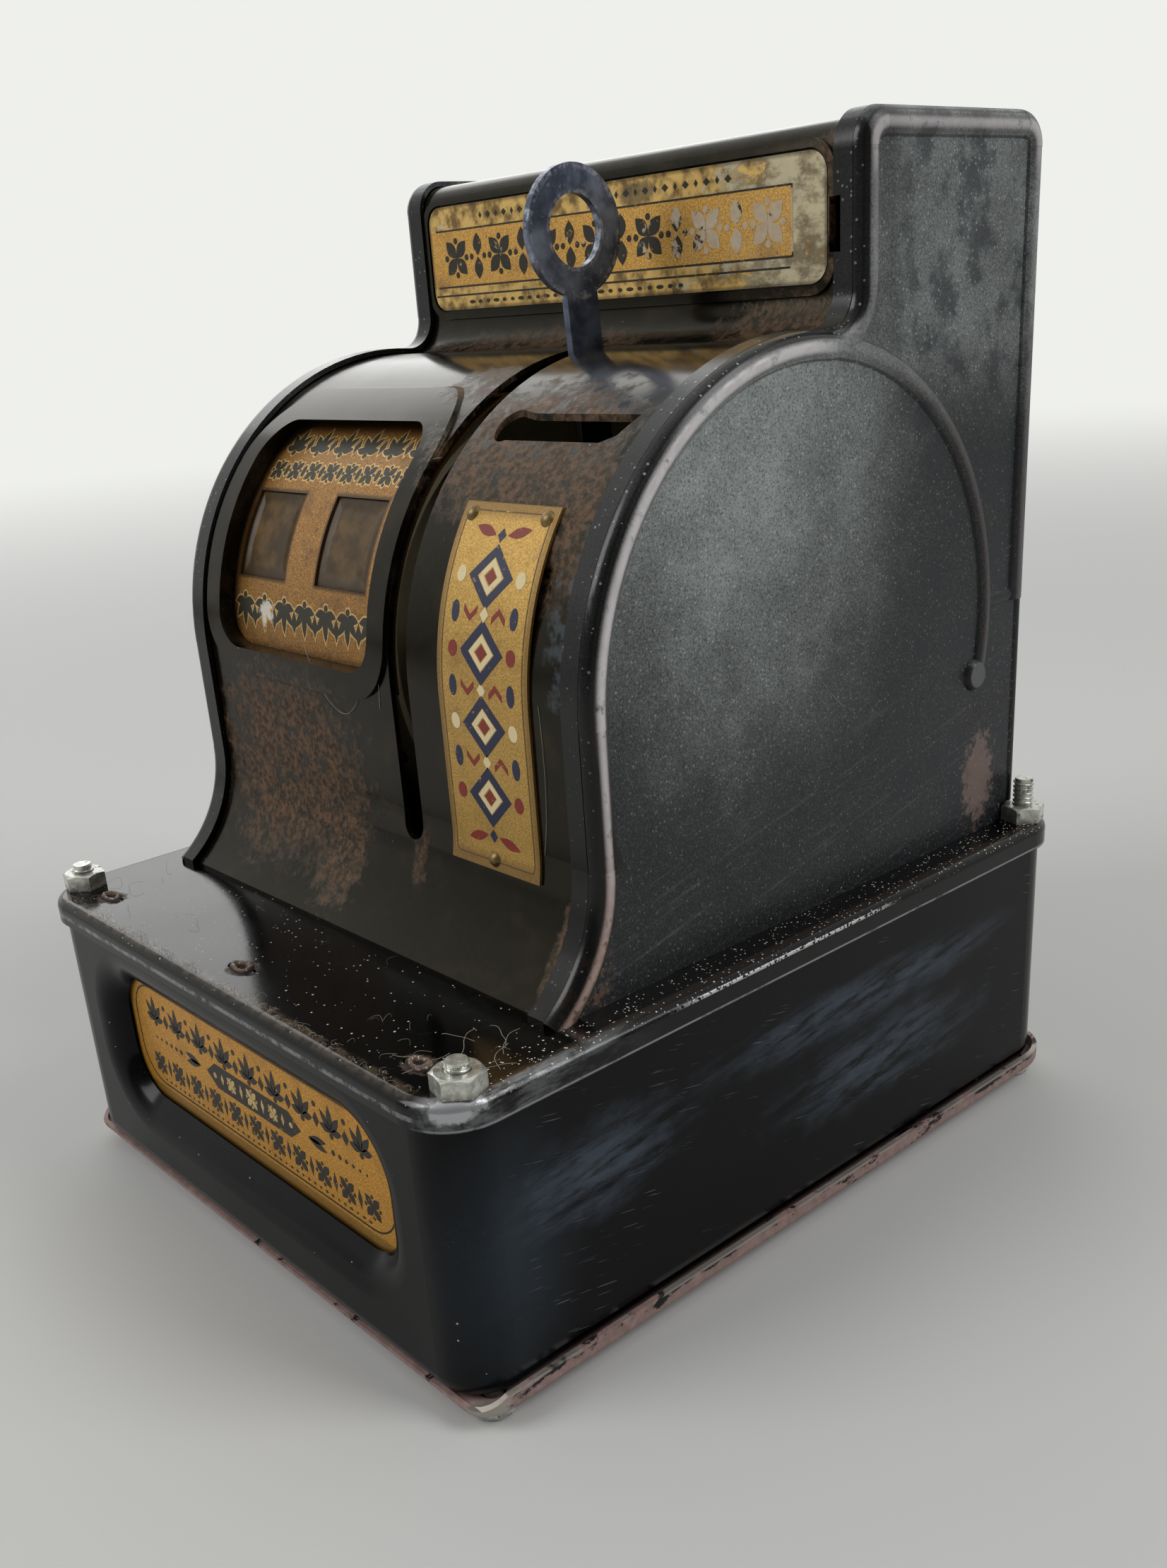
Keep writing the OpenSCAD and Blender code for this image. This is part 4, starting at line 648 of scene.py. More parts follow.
def printed(name, loops, place, low, high, finish, body="housing", step=None):
    """Thin raised print: flat shapes laid on a plate, cut fine enough to bend with it."""
    flat = bmesh.new()
    for loop in loops:
        flat.faces.new([flat.verts.new((u, v, 0)) for u, v in loop])
    bmesh.ops.remove_doubles(flat, verts=flat.verts, dist=0.0005)
    if step:
        heights = [v.co.y for v in flat.verts]
        level = math.floor(min(heights) / step) * step
        while level < max(heights):
            parts = flat.verts[:] + flat.edges[:] + flat.faces[:]
            bmesh.ops.bisect_plane(flat, geom=parts, plane_co=(0, level, 0), plane_no=(0, 1, 0))
            level += step
    bmesh.ops.triangulate(flat, faces=flat.faces[:])
    flat.verts.index_update()
    flat.verts.ensure_lookup_table()
    verts = [place(v.co.x, v.co.y, w) for w in (low, high) for v in flat.verts]
    count, faces = len(flat.verts), []
    for face in flat.faces:
        loop = [v.index for v in face.verts]
        if face.normal.z < 0:
            loop.reverse()
        faces.append(tuple(reversed(loop)))
        faces.append(tuple(i + count for i in loop))
        for a, b in zip(loop, loop[1:] + loop[:1]):
            if len(flat.edges.get((flat.verts[a], flat.verts[b])).link_faces) == 1:
                faces.append((a, b, b + count, a + count))
    flat.free()
    mesh = bpy.data.meshes.new(name)
    mesh.from_pydata([[c / 1000 for c in v] for v in verts], [], faces)
    piece(name, mesh, finish, body)


def print_ink(name, colour, ground, seed, worn=0.62):
    """Printer's ink that has rubbed thin, so that the ground shows through in flecks."""
    ink = Finish(name, shine=0.35)
    ink.colour = colour
    rub = fade(ink.noise(1.3, seed=seed, detail=7, rough=0.72), worn, worn + 0.05)
    ink.over(ground, rub, 0.85)
    ink.rough = blend(rub, 0.42, 0.5)
    return ink


def on_door(u, v, w):
    return (u, DOOR_FACE - w, DOOR_MID + v)


black_ink = print_ink("black_ink", (34, 28, 18), (196, 148, 72), 66)
black_ink.done()
loops = band(rounded(74.6, 18.6, 6.4, v=0.7), rounded(74.0, 18.0, 6.1, v=0.7))
for i in range(-4, 5):
    loops += palmette(i * 7.6, 5.7, 5.2)
    if i < 4:
        loops += [lozenge(i * 7.6 + 3.8, 4.6, 1.7, 2.6), oval(i * 7.6 + 3.8, 7.2, 0.5, points=12)]
for i in range(-5, 6):
    loops += rosette(i * 6.3, -4.6, 4.9)
    if i < 5:
        loops.append(lozenge(i * 6.3 + 3.15, -4.6, 1.1, 3.4))
loops.append([(-14, 0.5), (-11, -1.7), (11, -1.7), (14, 0.5), (11, 2.7), (-11, 2.7)])
for side in (-1, 1):
    loops += [leaf(side * 16, 0.5, 5, 1.3, 90 - side * 90 + turn) for turn in (-9, 9)]
    loops += [oval(side * (22.6 + 1.7 * i), 0.5, 0.48 - 0.05 * i, points=12) for i in range(6)]
loops += [lozenge(-30.5 + 1.6 * i, -7.5, 1.0 if i % 3 else 0.6, 0.55) for i in range(39)]
printed("door_print", loops, on_door, 0.0, 0.03, black_ink, body="door")

pale_gold = gilt("pale_gilt", (176, 142, 84), (232, 204, 140), 68, brown=0.2)
pale_gold.done()
loops = rosette(0, 0.5, 4.0) + rosette(-6.2, 0.5, 3.2) + rosette(6.2, 0.5, 3.2)
for side in (-1, 1):
    loops += [lozenge(side * 3.2, 0.5, 0.9, 2.6), lozenge(side * 9.0, 0.5, 0.9, 2.0)]
    loops.append(oval(side * 11.3, 0.5, 0.5, points=12))
printed("door_print_gold", loops, on_door, 0.03, 0.05, pale_gold, body="door")


# Door fittings: a steel strip with ears under the lid, a wire pin, a turning catch and
# its stud. They were never painted and have gone dull inside the box.
def bare_steel(name, dark, light, seed, rough=0.4, stretch=(1, 1, 1)):
    """Bare mill-finished steel: faint rolling marks, oil stains and a little rust."""
    steel = Finish(name, metallic=0.9)
    marks = steel.noise(0.8, seed=seed, rough=0.6, stretch=stretch)
    stained = fade(steel.noise(9, seed=seed + 1, detail=6, rough=0.62), 0.52, 0.72)
    rust = fade(steel.noise(2.4, seed=seed + 2, detail=7, rough=0.7), 0.64, 0.7)
    steel.colour = mix(marks, dark, light)
    steel.over((96, 78, 58), stained, 0.5)
    steel.over((104, 64, 40), rust)
    steel.bump(marks, 0.02)
    steel.bump(rust, 0.05)
    steel.done(blend(either(stained, rust), rough, 0.7), calc("MULTIPLY_ADD", rust, -0.8, 0.9))
    return steel


dull_steel = bare_steel("dull_steel", (120, 118, 110), (168, 166, 156), 71, 0.45)
dress(dull_steel, "door_hanger", "door_hinge_pin", "door_latch", "latch_rivet")


# Side plates: pressed sheet with a rolled bead round the edge and a round rib in the panel.
# Their satin black has chalked to a speckled grey, laid lighter as a painted sheen over the upper front and
# the top block, and the bead's crest is rubbed through.
AXIS_Y, AXIS_Z = 9.3, 87.05
sides = enamel("side_enamel", (24, 26, 28), 80, rough=0.3, shine=0.3)
fine = sides.noise(0.3, seed=81, detail=3, rough=0.85)
cloud = fade(sides.noise(11, seed=82, detail=8, rough=0.66), 0.3, 0.7)
streak = sides.noise(3, seed=83, detail=5, rough=0.6, stretch=(1, 5, 1), turn=(-24, 0, 0))
# Painted sheen: the grey is laid lightest over the upper front of the drum round and on the top block, and
# fades to dark lower down where the lamps' reflection falls; clouds and streaks of chalking break it up.
painted_drum_sheen = sides.patch((50.6, -6, 126), (400, 50, 66), ragged=0.2, soft=0.95, seed=84, grain=16)
painted_block_sheen = both(fade(sides.y, 24, 30), fade(sides.z, 112, 134), 0.5)
chalk_and_sheen = both(either(painted_drum_sheen, painted_block_sheen), blend(cloud, 0.6, 1.1), blend(streak, 0.75, 1.2))
sides.over((158, 165, 164), chalk_and_sheen)
sides.over((178, 182, 178), fade(fine, 0.52, 0.6), blend(chalk_and_sheen, 0.1, 0.6))
sides.over((20, 22, 24), fade(fine, 0.47, 0.38), 0.7)
blots = fade(sides.noise(9, seed=85, detail=6, rough=0.65), 0.46, 0.6)
sides.over((28, 33, 40), blots, fade(sides.y, 22, 34), 0.75)
swept = sides.noise(0.7, seed=78, detail=3, stretch=(1, 45, 1), turn=(-12, 0, 0))
sides.over((96, 104, 110), fade(swept, 0.56, 0.7), fade(sides.z, 88, 62), blend(cloud, 0.0, 0.45))
scratched(sides, 86, 0.6, spread=12, turn=(38, 0, 0))
out = calc("ABSOLUTE", sides.x)
crest_noise = sides.noise(3, seed=87, detail=6, rough=0.65)
front_bead = either(fade(sides.y, 16, 4), near(sides.z, 130, 8, 6))
front_bead = both(front_bead, fade(calc("ADD", sides.y, both(sides.z, 0.4)), 68, 58))
corner_bead = both(fade(sides.z, 148, 153), 0.6)
bead_wear = blend(either(front_bead, corner_bead), 0.14, 1.0)
sides.over((66, 52, 44), near(out, 51.1, 0.1, 0.2), 0.5, blend(bead_wear, 0.3, 1.0))
crest = both(fade(out, 51.12, 51.38), fade(crest_noise, 0.3, 0.46), bead_wear)
sides.over(mix(fade(sides.z, 56, 80), (172, 148, 138), (208, 202, 204)), crest, 0.9)
# Painted shade: a dark line along the bead's foot, where it rises from the panel.
shoulder_shade = near(out, 50.6, 0.1, 0.16)
sides.over((14, 14, 15), shoulder_shade, 0.6)
primer_spot = sides.patch((50.6, 51.5, 58.5), (30, 5, 9), ragged=1.1, seed=88, grain=1.6)
sides.over((122, 100, 92), primer_spot, fade(sides.x, 40, 45), 0.65)
chips = fade(sides.noise(2, seed=89, detail=7, rough=0.7), 0.52, 0.56)
sides.over((104, 80, 64), chips, fade(sides.y, -31, -37), fade(sides.z, 64, 54), 0.8)
across = vector("MULTIPLY", sides.where, (0, 1, 1))
from_axis = vector("LENGTH", vector("SUBTRACT", across, (0, AXIS_Y, AXIS_Z)), output="Value")
from_foot = vector("LENGTH", vector("SUBTRACT", across, (0, -56.9, 68.2)), output="Value")
round_front = both(fade(from_axis, 43.0, 43.4), fade(sides.z, 66, 69), fade(sides.y, 17, 13))
foot_front = both(fade(from_foot, 23.4, 23.0), fade(sides.z, 70, 67))
block_front = both(fade(sides.z, 130, 132), fade(sides.y, 21.0, 20.5))
behind_rim = both(fade(out, 50.2, 49.8), fade(sides.y, 20, 15))
flange = both(either(round_front, foot_front, block_front, behind_rim), fade(out, 51.25, 51.05))
sides.over((10, 9, 8), flange, 0.92)
sparkle = both(sides.specks(0.75, 0.2, 0.4, seed=77), blend(chalk_and_sheen, 0.15, 0.75))
sides.over((176, 180, 176), sparkle, fade(out, 50.9, 50.7))
sides.over((206, 202, 190), sides.specks(1.1, 0.11, 0.3, seed=79), fade(sides.z, 56, 50), 0.8)
sides.bump(fine, 0.02, 0.6)
rough = blend(flange, blend(chalk_and_sheen, sides.rough, 0.5), 0.2)
sides.done(blend(crest, rough, 0.36), both(crest, fade(crest_noise, 0.46, 0.6), 0.6))
dress(sides, "left_side_plate", "right_side_plate")


# Front sheet: one sheet bent into foot, round front, cove and top, in black gloss gone
# brownish. Rust has come through below the window and round the two slots.
front = enamel("front_enamel", (11, 9, 5), 90, rough=0.15, shine=0.24, sheen=(0.85, 0.74, 0.5))
grime = front.noise(6, seed=91, detail=7, rough=0.65)
front.over((40, 32, 22), fade(grime, 0.48, 0.7), 0.6)
rusted = [
    ((-24, -36, 70), (26, 30, 19), 0.6, 0.95),
    ((-8, -37, 58), (7, 30, 9), 0.9, 0.9),
    ((-30, -37, 60), (12, 30, 8), 0.8, 0.7),
    ((25, -18, 118), (23, 20, 12), 0.6, 0.9),
    ((41, -27, 112), (9, 12, 14), 0.6, 0.8),
    ((38, 17, 132), (16, 6, 6), 0.6, 0.7),
    ((46, 20, 147), (5, 4, 13), 0.7, 0.85),
    ((-14, 16, 131), (34, 5, 4), 0.6, 0.5),
    ((46.2, -39, 57), (2.8, 7, 10), 0.8, 1.0),
    ((11.5, -36, 62), (2.2, 30, 6), 0.9, 0.7),
    ((3, -10, 128), (9, 8, 5), 0.7, 0.6),
]
brown = either(*(
    both(front.patch(centre, reach, ragged=ragged, soft=0.5, seed=93 + number), amount)
    for number, (centre, reach, ragged, amount) in enumerate(rusted)
))
mottle = front.noise(2.8, seed=92, detail=9, rough=0.74)
freckled = both(brown, fade(mottle, 0.4, 0.5))
rust_tone = fade(front.noise(1.1, seed=104, detail=6, rough=0.7), 0.38, 0.62)
front.over(mix(rust_tone, (42, 32, 24), (104, 80, 62)), freckled)
red_rust = front.noise(3.5, seed=105, detail=6, rough=0.7, stretch=(1, 1, 1.8))
front.over((116, 78, 56), brown, fade(red_rust, 0.58, 0.64), 0.45)
scratched(front, 106, 0.4, turn=(70, 0, 0))
sheet_top = fade(front.z, 150, 154)
front.over((58, 50, 42), sheet_top, fade(mottle, 0.45, 0.6), 0.2)
blue_scuff = front.patch((46, -34, 100), (6, 20, 14), ragged=0.6, seed=107)
front.over((74, 84, 92), blue_scuff, fade(front.noise(2.4, seed=108, detail=6), 0.46, 0.6), 0.6)
specks = front.specks(2.2, 0.11, 0.2, seed=109)
front.over((190, 184, 168), specks, 0.8)
front.bump(both(brown, mottle), 0.12)
front.done(either(blend(freckled, front.rough, 0.58), both(specks, 0.8)))
dress(front, "front_sheet")


# Back sheet: the flat back with a turned top edge, in the same gloss, scuffed by handling
# and with rust starting along its lower edge.
back = enamel("back_enamel", (12, 12, 12), 110, rough=0.22)
back.over((48, 48, 46), fade(back.noise(16, seed=111, detail=6, rough=0.6), 0.48, 0.7), 0.5)
scratched(back, 112, 0.8, spread=20, turn=(0, 35, 0))
rust = fade(back.noise(2.2, seed=113, detail=8, rough=0.72), 0.5, 0.56)
low_rust = both(rust, fade(back.z, 62, 50))
back.over((84, 62, 48), low_rust, 0.65)
back.done(blend(low_rust, back.rough, 0.6))
dress(back, "back_sheet")


# Register plate: gold tinplate printed in black behind the window, with two openings for
# the number drums. Behind each opening sits a pane of celluloid, browned with age.
def on_front(inside):
    """Place on the bent front: u across, v along the sheet from the axis's level, w out."""
    round_r, foot_r, straight = 44.4, 21.8, 37.95 - 19.06

    def place(u, v, w):
        depth = inside - w
        if v >= 0:
            a, r = v / (round_r - inside), round_r - depth
            return (u, AXIS_Y - r * math.cos(a), AXIS_Z + r * math.sin(a))
        if v >= -straight:
            return (u, AXIS_Y - round_r + depth, AXIS_Z + v)
        a, r = (-straight - v) / (foot_r + inside), foot_r + depth
        return (u, AXIS_Y - round_r - foot_r + r * math.cos(a), AXIS_Z - straight - r * math.sin(a))

    return place


register = gilt("register_gilt", (104, 72, 32), (180, 132, 68), 120, brown=0.75)
# Painted shade: the plate darkens towards the edges of the window, where the front sheet's frame overhangs
# it.
window_edge_shade = either(
    fade(register.x, -38, -41.5), fade(register.z, 118.5, 121.5),
    fade(register.z, 89, 87), fade(register.x, 0.5, 2.5),
)
register.over((50, 34, 18), window_edge_shade, 0.7)
DRUM_PLACES, PANE_Z = (-32.65, -9.85), 105.15
# Painted shade: a dark rim round each drum opening.
for x in DRUM_PLACES:
    past_edge = either(away(register.x, x, 6.95), away(register.z, PANE_Z, 6.4))
    register.over((46, 32, 18), fade(past_edge, 0.75, 0.1), 0.8)
register.done()
dress(register, "register_plate")

celluloid = Finish("aged_celluloid", shine=0.25)
cloud = celluloid.noise(4, seed=131, detail=5, rough=0.6)
celluloid.colour = mix(fade(cloud, 0.36, 0.68), (64, 46, 22), (100, 76, 40))
# Painted shade: each pane is darker brown along its bevelled edges, where the opening shades it.
for x in DRUM_PLACES:
    away_x, away_z = distance(celluloid.x, x), distance(celluloid.z, PANE_Z)
    near_edge = either(fade(away_x, 4.8, 6.8), fade(away_z, 4.2, 6.2))
    near_edge = both(near_edge, fade(away_x, 9, 8.5))
    celluloid.over((50, 36, 18), near_edge, 0.75)
    celluloid.bump(near_edge, 0.5)
celluloid.bump(celluloid.noise(9, seed=132, detail=1), 0.5)
celluloid.surface.inputs["Alpha"].default_value = 0.94
celluloid.done(0.4)
dress(celluloid, "dollars_pane", "cents_pane")

register_ink = print_ink("register_ink", (40, 38, 26), (150, 112, 64), 134)
white = register_ink.patch((-30.5, -30, 93.2), (2.6, 30, 2.4), ragged=0.7, seed=135, grain=1.2)
register_ink.over((206, 200, 186), white)
register_ink.done()
loops = []
for i in range(6):
    loops += palmette(-36.2 + i * 6.9, 36.0, 5.2)
    loops.append(lozenge(-32.75 + i * 6.9, 35.4, 1.5, 3.0))
for i in range(8):
    loops += rosette(-37.6 + i * 5.2, 30.2, 4.4)
    loops.append(oval(-35.0 + i * 5.2, 30.2, 0.55, 1.1, points=14))
for i in range(7):
    loops += palmette(-37.4 + i * 6.1, 6.2, 5.4, -1)
    loops.append(lozenge(-34.35 + i * 6.1, 5.6, 1.7, 3.6))
face = on_front(3.3)
pale_line = gilt("pale_outline", (178, 138, 80), (226, 190, 124), 136, brown=0.3)
pale_line.done()
printed("register_outline", [grown(loop, 0.28) for loop in loops], face, 0.0, 0.02, pale_line, step=1.2)
printed("register_print", loops, face, 0.02, 0.045, register_ink, step=1.2)
frame_line = band(rounded(43.5, 44, 1.5, u=-19.5, v=22.4), rounded(43.1, 43.6, 1.3, u=-19.5, v=22.4))
printed("register_line", frame_line, face, 0.0, 0.02, register_ink, step=1.2)


# Plate across the top block: gold tinplate with a black ornament and double rule. Its
# light border has rubbed through to bare tin, most of all at the right end.
marquee = gilt("marquee_gilt", (172, 124, 56), (236, 186, 98), 140, brown=0.5)
MID_Z, BLOCK_FACE = 145.35, 19.88
half_u, half_v = 44.5, 8.35
inner = both(
    fade(marquee.x, 38.7, 38.3), fade(marquee.z, MID_Z + 4.7, MID_Z + 4.3),
    fade(marquee.z, MID_Z - 4.7, MID_Z - 4.4),
)
plate_gold = marquee.colour
marquee.colour = mix(fade(marquee.noise(2.4, seed=143, detail=6), 0.4, 0.66), (222, 184, 108), (120, 94, 54))
marquee.over(plate_gold, inner)
rub = marquee.noise(3.2, seed=144, detail=7, rough=0.68, stretch=(1.6, 1, 1))
more_at_end = calc("MULTIPLY_ADD", fade(marquee.x, 6, 43), 0.34, -0.12)
worn_tin = fade(calc("ADD", rub, more_at_end), 0.52, 0.6)
worn_tin = both(0.9, worn_tin, calc("SUBTRACT", 1.0, both(inner, 0.92)))
marquee.over(mix(fade(rub, 0.4, 0.6), (118, 108, 88), (200, 190, 160)), worn_tin)
past_end = calc("SUBTRACT", calc("ABSOLUTE", marquee.x), half_u)
rim = either(past_end, away(marquee.z, MID_Z, half_v))
marquee.over((50, 38, 24), fade(rim, -0.7, -0.1), 0.6)
marquee.over((60, 56, 50), marquee.patch((8, 19.5, 151.5), (5, 10, 2), ragged=0.7, seed=145), 0.7)
marquee.done()
dress(marquee, "marquee_plate")


def on_block(u, v, w):
    return (u, BLOCK_FACE - w, MID_Z + v)


top_ink = print_ink("marquee_ink", (38, 32, 20), (172, 126, 62), 146, worn=0.6)
lost = calc("ADD", top_ink.noise(2.4, seed=148, detail=6, rough=0.68), both(fade(top_ink.x, 4, 30), 0.26))
under = mix(top_ink.noise(1.4, seed=149), (164, 128, 92), (208, 200, 176))
top_ink.over(under, fade(lost, 0.6, 0.66), near(top_ink.z, MID_Z, 3.9, 0.2))
top_ink.done()
rules = [(-2.2, 4.5, 81, 0.28), (38.4, 0, 0.28, 9.2), (-2.4, -4.6, 81.6, 0.3), (-3, -6.0, 82, 0.3)]
loops = [bar(*rule) for rule in rules]
for i in range(7):
    loops += rosette(-37.4 + i * 11.9, 0, 7.6)
    if i < 6:
        loops += spindle(-31.45 + i * 11.9, 0, 7.4, 2.3)
loops += [lozenge(-30 + 2.1 * i, 6.3, 1.4 if i % 2 else 0.8, 1.1) for i in range(28) if not 9 < i < 14]
loops += [oval(-34 + 2.2 * i, -7.2, 0.5 if i % 3 else 0.8, 0.3, points=12) for i in range(24)]
printed("marquee_print", loops, on_block, 0.0, 0.03, top_ink)


# Narrow plate: tinplate bent to the round front beside the lever slot, printed in navy,
# red and cream on bright gold, and held by three small dome-headed rivets.
MID = 29.2
narrow = gilt("narrow_gilt", (158, 120, 56), (206, 168, 92), 160, brown=0.35, metallic=0.5)
tarnish = either(
    fade(distance(narrow.x, MID), 8.2, 9.3), fade(narrow.z, 66.8, 64.6), fade(narrow.z, 110.6, 112.4)
)
narrow.over((112, 84, 46), tarnish, 0.7)
narrow.done()
dress(narrow, "narrow_plate")
inks, layers = {}, {}
chips = {"navy": (36, 40, 66), "red": (128, 44, 34), "cream": (222, 204, 158), "brown": (92, 68, 36)}
for number, (tint, chip) in enumerate(chips.items()):
    inks[tint] = print_ink(f"{tint}_ink", chip, (204, 160, 78), 165 + number, worn=0.61)
    inks[tint].done()
    layers[tint] = []
face = on_front(0.57)
outer = rounded(17.4, 48.8, 0.8, MID, 2.2, steps=2)
layers["brown"] += band(outer, rounded(17.0, 48.4, 0.6, MID, 2.2, steps=2))
for number, v in enumerate((17.6, 7.5, -2.6, -12.7)):
    layers["navy"] += band(lozenge(MID, v, 9.2, 8.8), lozenge(MID, v, 5.6, 5.4))
    layers["cream"] += band(lozenge(MID, v, 5.2, 5.0), lozenge(MID, v, 2.9, 2.8))
    layers["red"].append(lozenge(MID, v, 2.4, 2.3))
    layers["red" if number % 2 else "cream"] += [oval(MID + u, v, 0.95, 1.15, points=18) for u in (-6.2, 6.2)]
for v in (12.55, 2.45, -7.65):
    layers["navy"] += [oval(MID + u, v, 0.8, 1.5, points=18) for u in (-6.2, 6.2)]
    layers["red"] += [chevron(MID + side * 3.0, v, 2.8, side * 2.2, 0.9) for side in (-1, 1)]
    layers["cream"].append(lozenge(MID, v, 1.8, 2.2))
for v, way in ((23.2, 1), (-18.4, -1)):
    layers["red"] += [leaf(MID + side * 1.2, v, 4.6, 1.5, 90 - side * (90 - way * 14)) for side in (-1, 1)]
    layers["navy"].append(lozenge(MID, v, 1.7, 2.0))
printed("narrow_outline", layers["brown"], face, 0.0, 0.02, inks["brown"], step=1.2)
for tint in ("navy", "cream", "red"):
    printed(f"narrow_{tint}", layers[tint], face, 0.0, 0.035, inks[tint], step=1.2)

rivet_brass = Finish("rivet_brass", metallic=0.75)
patina = rivet_brass.noise(0.9, seed=171, detail=5)
rivet_brass.colour = mix(patina, (84, 68, 42), (152, 128, 82))
rivet_brass.bump(patina, 0.04)
rivet_brass.done(0.42)
dress(rivet_brass, "narrow_plate_rivets")


# Register works: pressed steel frame plates riveted together by tie rods, with the number
# drums, ratchet and gears on one axle. They are oily steel, and hidden in use.
frame_steel = bare_steel("frame_steel", (124, 122, 114), (170, 168, 158), 180, 0.4)
dress(frame_steel, "left_frame_plate", "middle_frame_plate", "right_frame_plate", "drive_arm",
      "lever_hub", "coin_carrier")
rod_steel = bare_steel("rod_steel", (136, 136, 132), (186, 186, 180), 185, 0.28, (9, 1, 1))
dress(rod_steel, "front_tie_rod", "rear_tie_rod", "upper_tie_rod", "main_axle", "frame_rivets",
      "pawl_pin", "bell_post")
cut_steel = bare_steel("cut_steel", (112, 110, 100), (164, 160, 146), 190, 0.34)
dress(cut_steel, "cents_ratchet", "dollars_gear", "transfer_pinion", "detent_pawl",
      "dollars_detent", "drive_pawl", "bell_clapper")
spring = bare_steel("spring_steel", (84, 88, 92), (132, 138, 142), 195, 0.3)
dress(spring, "detent_springs", "lever_return_spring")


# Bell: a cup pressed from thin steel and nickel plated, held on a post among the works. The
# clapper strikes it when the lever comes down.
nickel = Finish("bell_nickel", metallic=0.95)
cloudy = nickel.noise(8, seed=201, detail=6, rough=0.6)
nickel.colour = mix(fade(cloudy, 0.4, 0.7), (200, 196, 184), (142, 132, 112))
nickel.bump(nickel.noise(0.35, seed=200, detail=2), 0.008)
nickel.done(blend(fade(cloudy, 0.45, 0.7), 0.2, 0.42))
dress(nickel, "bell")


# Number drums: cream enamelled cups with plain printed numbers, five-cent steps on the
# right and whole dollars on the left.
DRUM_R = 36.5
cream = Finish("drum_cream", shine=0.4)
cream.colour = mix(cream.noise(5, seed=205, detail=5), (206, 190, 150), (226, 214, 180))
cream.bump(cream.noise(0.8, seed=206), 0.01)
cream.done(0.42)
dress(cream, "cents_drum", "dollars_drum")
number_ink = print_ink("number_ink", (30, 26, 22), (206, 190, 150), 207, worn=0.66)
number_ink.done()


def numeral_loops(text, size):
    """The triangles of a plain numeral, centred, in millimetres."""
    curve = bpy.data.curves.new("numeral", "FONT")
    curve.body, curve.size = text, size
    curve.align_x, curve.align_y, curve.resolution_u = "CENTER", "CENTER", 3
    mesh = baked(bpy.data.objects.new("numeral", curve))
    return [[tuple(mesh.vertices[i].co[:2]) for i in face.vertices] for face in mesh.polygons]


def on_drum(middle, angle):
    def place(u, v, w):
        a, r = angle + v / DRUM_R, DRUM_R + w
        return (middle + u, AXIS_Y - r * math.cos(a), AXIS_Z + r * math.sin(a))

    return place


window_angle = math.asin((PANE_Z - AXIS_Z) / DRUM_R)
dollars, cents = [str(i) for i in range(10)], [f"{5 * i:02d}" for i in range(20)]
for body, middle, labels in zip(("dollars", "cents"), DRUM_PLACES, (dollars, cents)):
    for number, label in enumerate(labels):
        place = on_drum(middle, window_angle + 2 * math.pi * number / len(labels))
        printed(f"{body}_number_{label}", numeral_loops(label, 8.5), place, -0.02, 0.03, number_ink,
                body=body, step=1.5)


# Lever: stamped spring steel, heat blued. The blue has worn to bright steel round the
# finger ring, whose edges also carry a painted highlight, and browned along the stem where it rubs in its
# slot.
lean, reach = math.radians(3.8), 59.7
ring_y, ring_z = AXIS_Y - reach * math.sin(lean), AXIS_Z + reach * math.cos(lean)
blued = Finish("blued_steel", metallic=0.8)
blue_tint = blued.noise(5, seed=211, detail=5, rough=0.6)
rubs = blued.noise(1.4, seed=212, detail=7, rough=0.68)
blued.colour = mix(fade(blue_tint, 0.34, 0.68), (62, 70, 88), (112, 120, 136))
flat_place = vector("MULTIPLY", vector("SUBTRACT", blued.where, (0, ring_y, ring_z)), (0, 1, 1))
from_ring = vector("LENGTH", flat_place, output="Value")
# The ring's outer and inner edges are laid in bright steel: rubbed wear, and a painted highlight along the
# edges as well.
rims = either(near(from_ring, 8.9, 0.35, 0.5), near(from_ring, 5.1, 0.25, 0.35))
ring_wear_and_highlight = both(rims, fade(rubs, 0.42, 0.66), fade(from_ring, 10, 9.2))
fingered = both(fade(rubs, 0.56, 0.68), near(from_ring, 7, 2.2, 1), 0.35)
worn = either(ring_wear_and_highlight, fingered)
blued.over((178, 184, 196), worn, 0.8)
stem_rust = both(
    fade(blued.z, ring_z - 12, ring_z - 18), fade(rubs, 0.46, 0.58),
    fade(blued.noise(4, seed=213), 0.44, 0.56),
)
blued.over((96, 66, 46), stem_rust, 0.8)
blued.bump(rubs, 0.03)
blued.done(blend(stem_rust, blend(worn, blend(blue_tint, 0.26, 0.46), 0.3), 0.65))
dress(blued, "lever_pull")


# Lint: short dust fibres caught on the rolled front edge of the lid and round the nuts, and
# a few loose hairs that lie on the lid and the front.
lint = Finish("lint_fibre", shine=0.2)
lint.colour = mix(lint.noise(3, seed=221), (124, 112, 94), (206, 198, 180))
lint.done(0.9)
fluff = Recipe("scattered_fluff", density=1.0, length=0.001, thickness=0.00002, seed=1)
long, seed = fluff.given["length"], fluff.given["seed"]
most, half, third, little = (calc("MULTIPLY", long, part) for part in (0.6, 0.5, 0.3, 0.15))
inputs = {"Resolution": 5, "Start": (0, 0, 0), "Start Handle": fluff.xyz(z=most)}
inputs.update({"End Handle": fluff.xyz(half, z=half), "End": fluff.xyz(long, third, little)})
line = fluff.add("GeometryNodeCurvePrimitiveBezierSegment", inputs)
strand = fluff.swept(line, 3, fluff.given["thickness"])
inputs = {"Mesh": fluff.given["Geometry"], "Density": fluff.given["density"], "Seed": seed}
places = fluff.add("GeometryNodeDistributePointsOnFaces", inputs)
inputs = {"Min": (-0.35, -0.5, 0.0), "Max": (0.35, 0.35, 6.283), "Seed": seed}
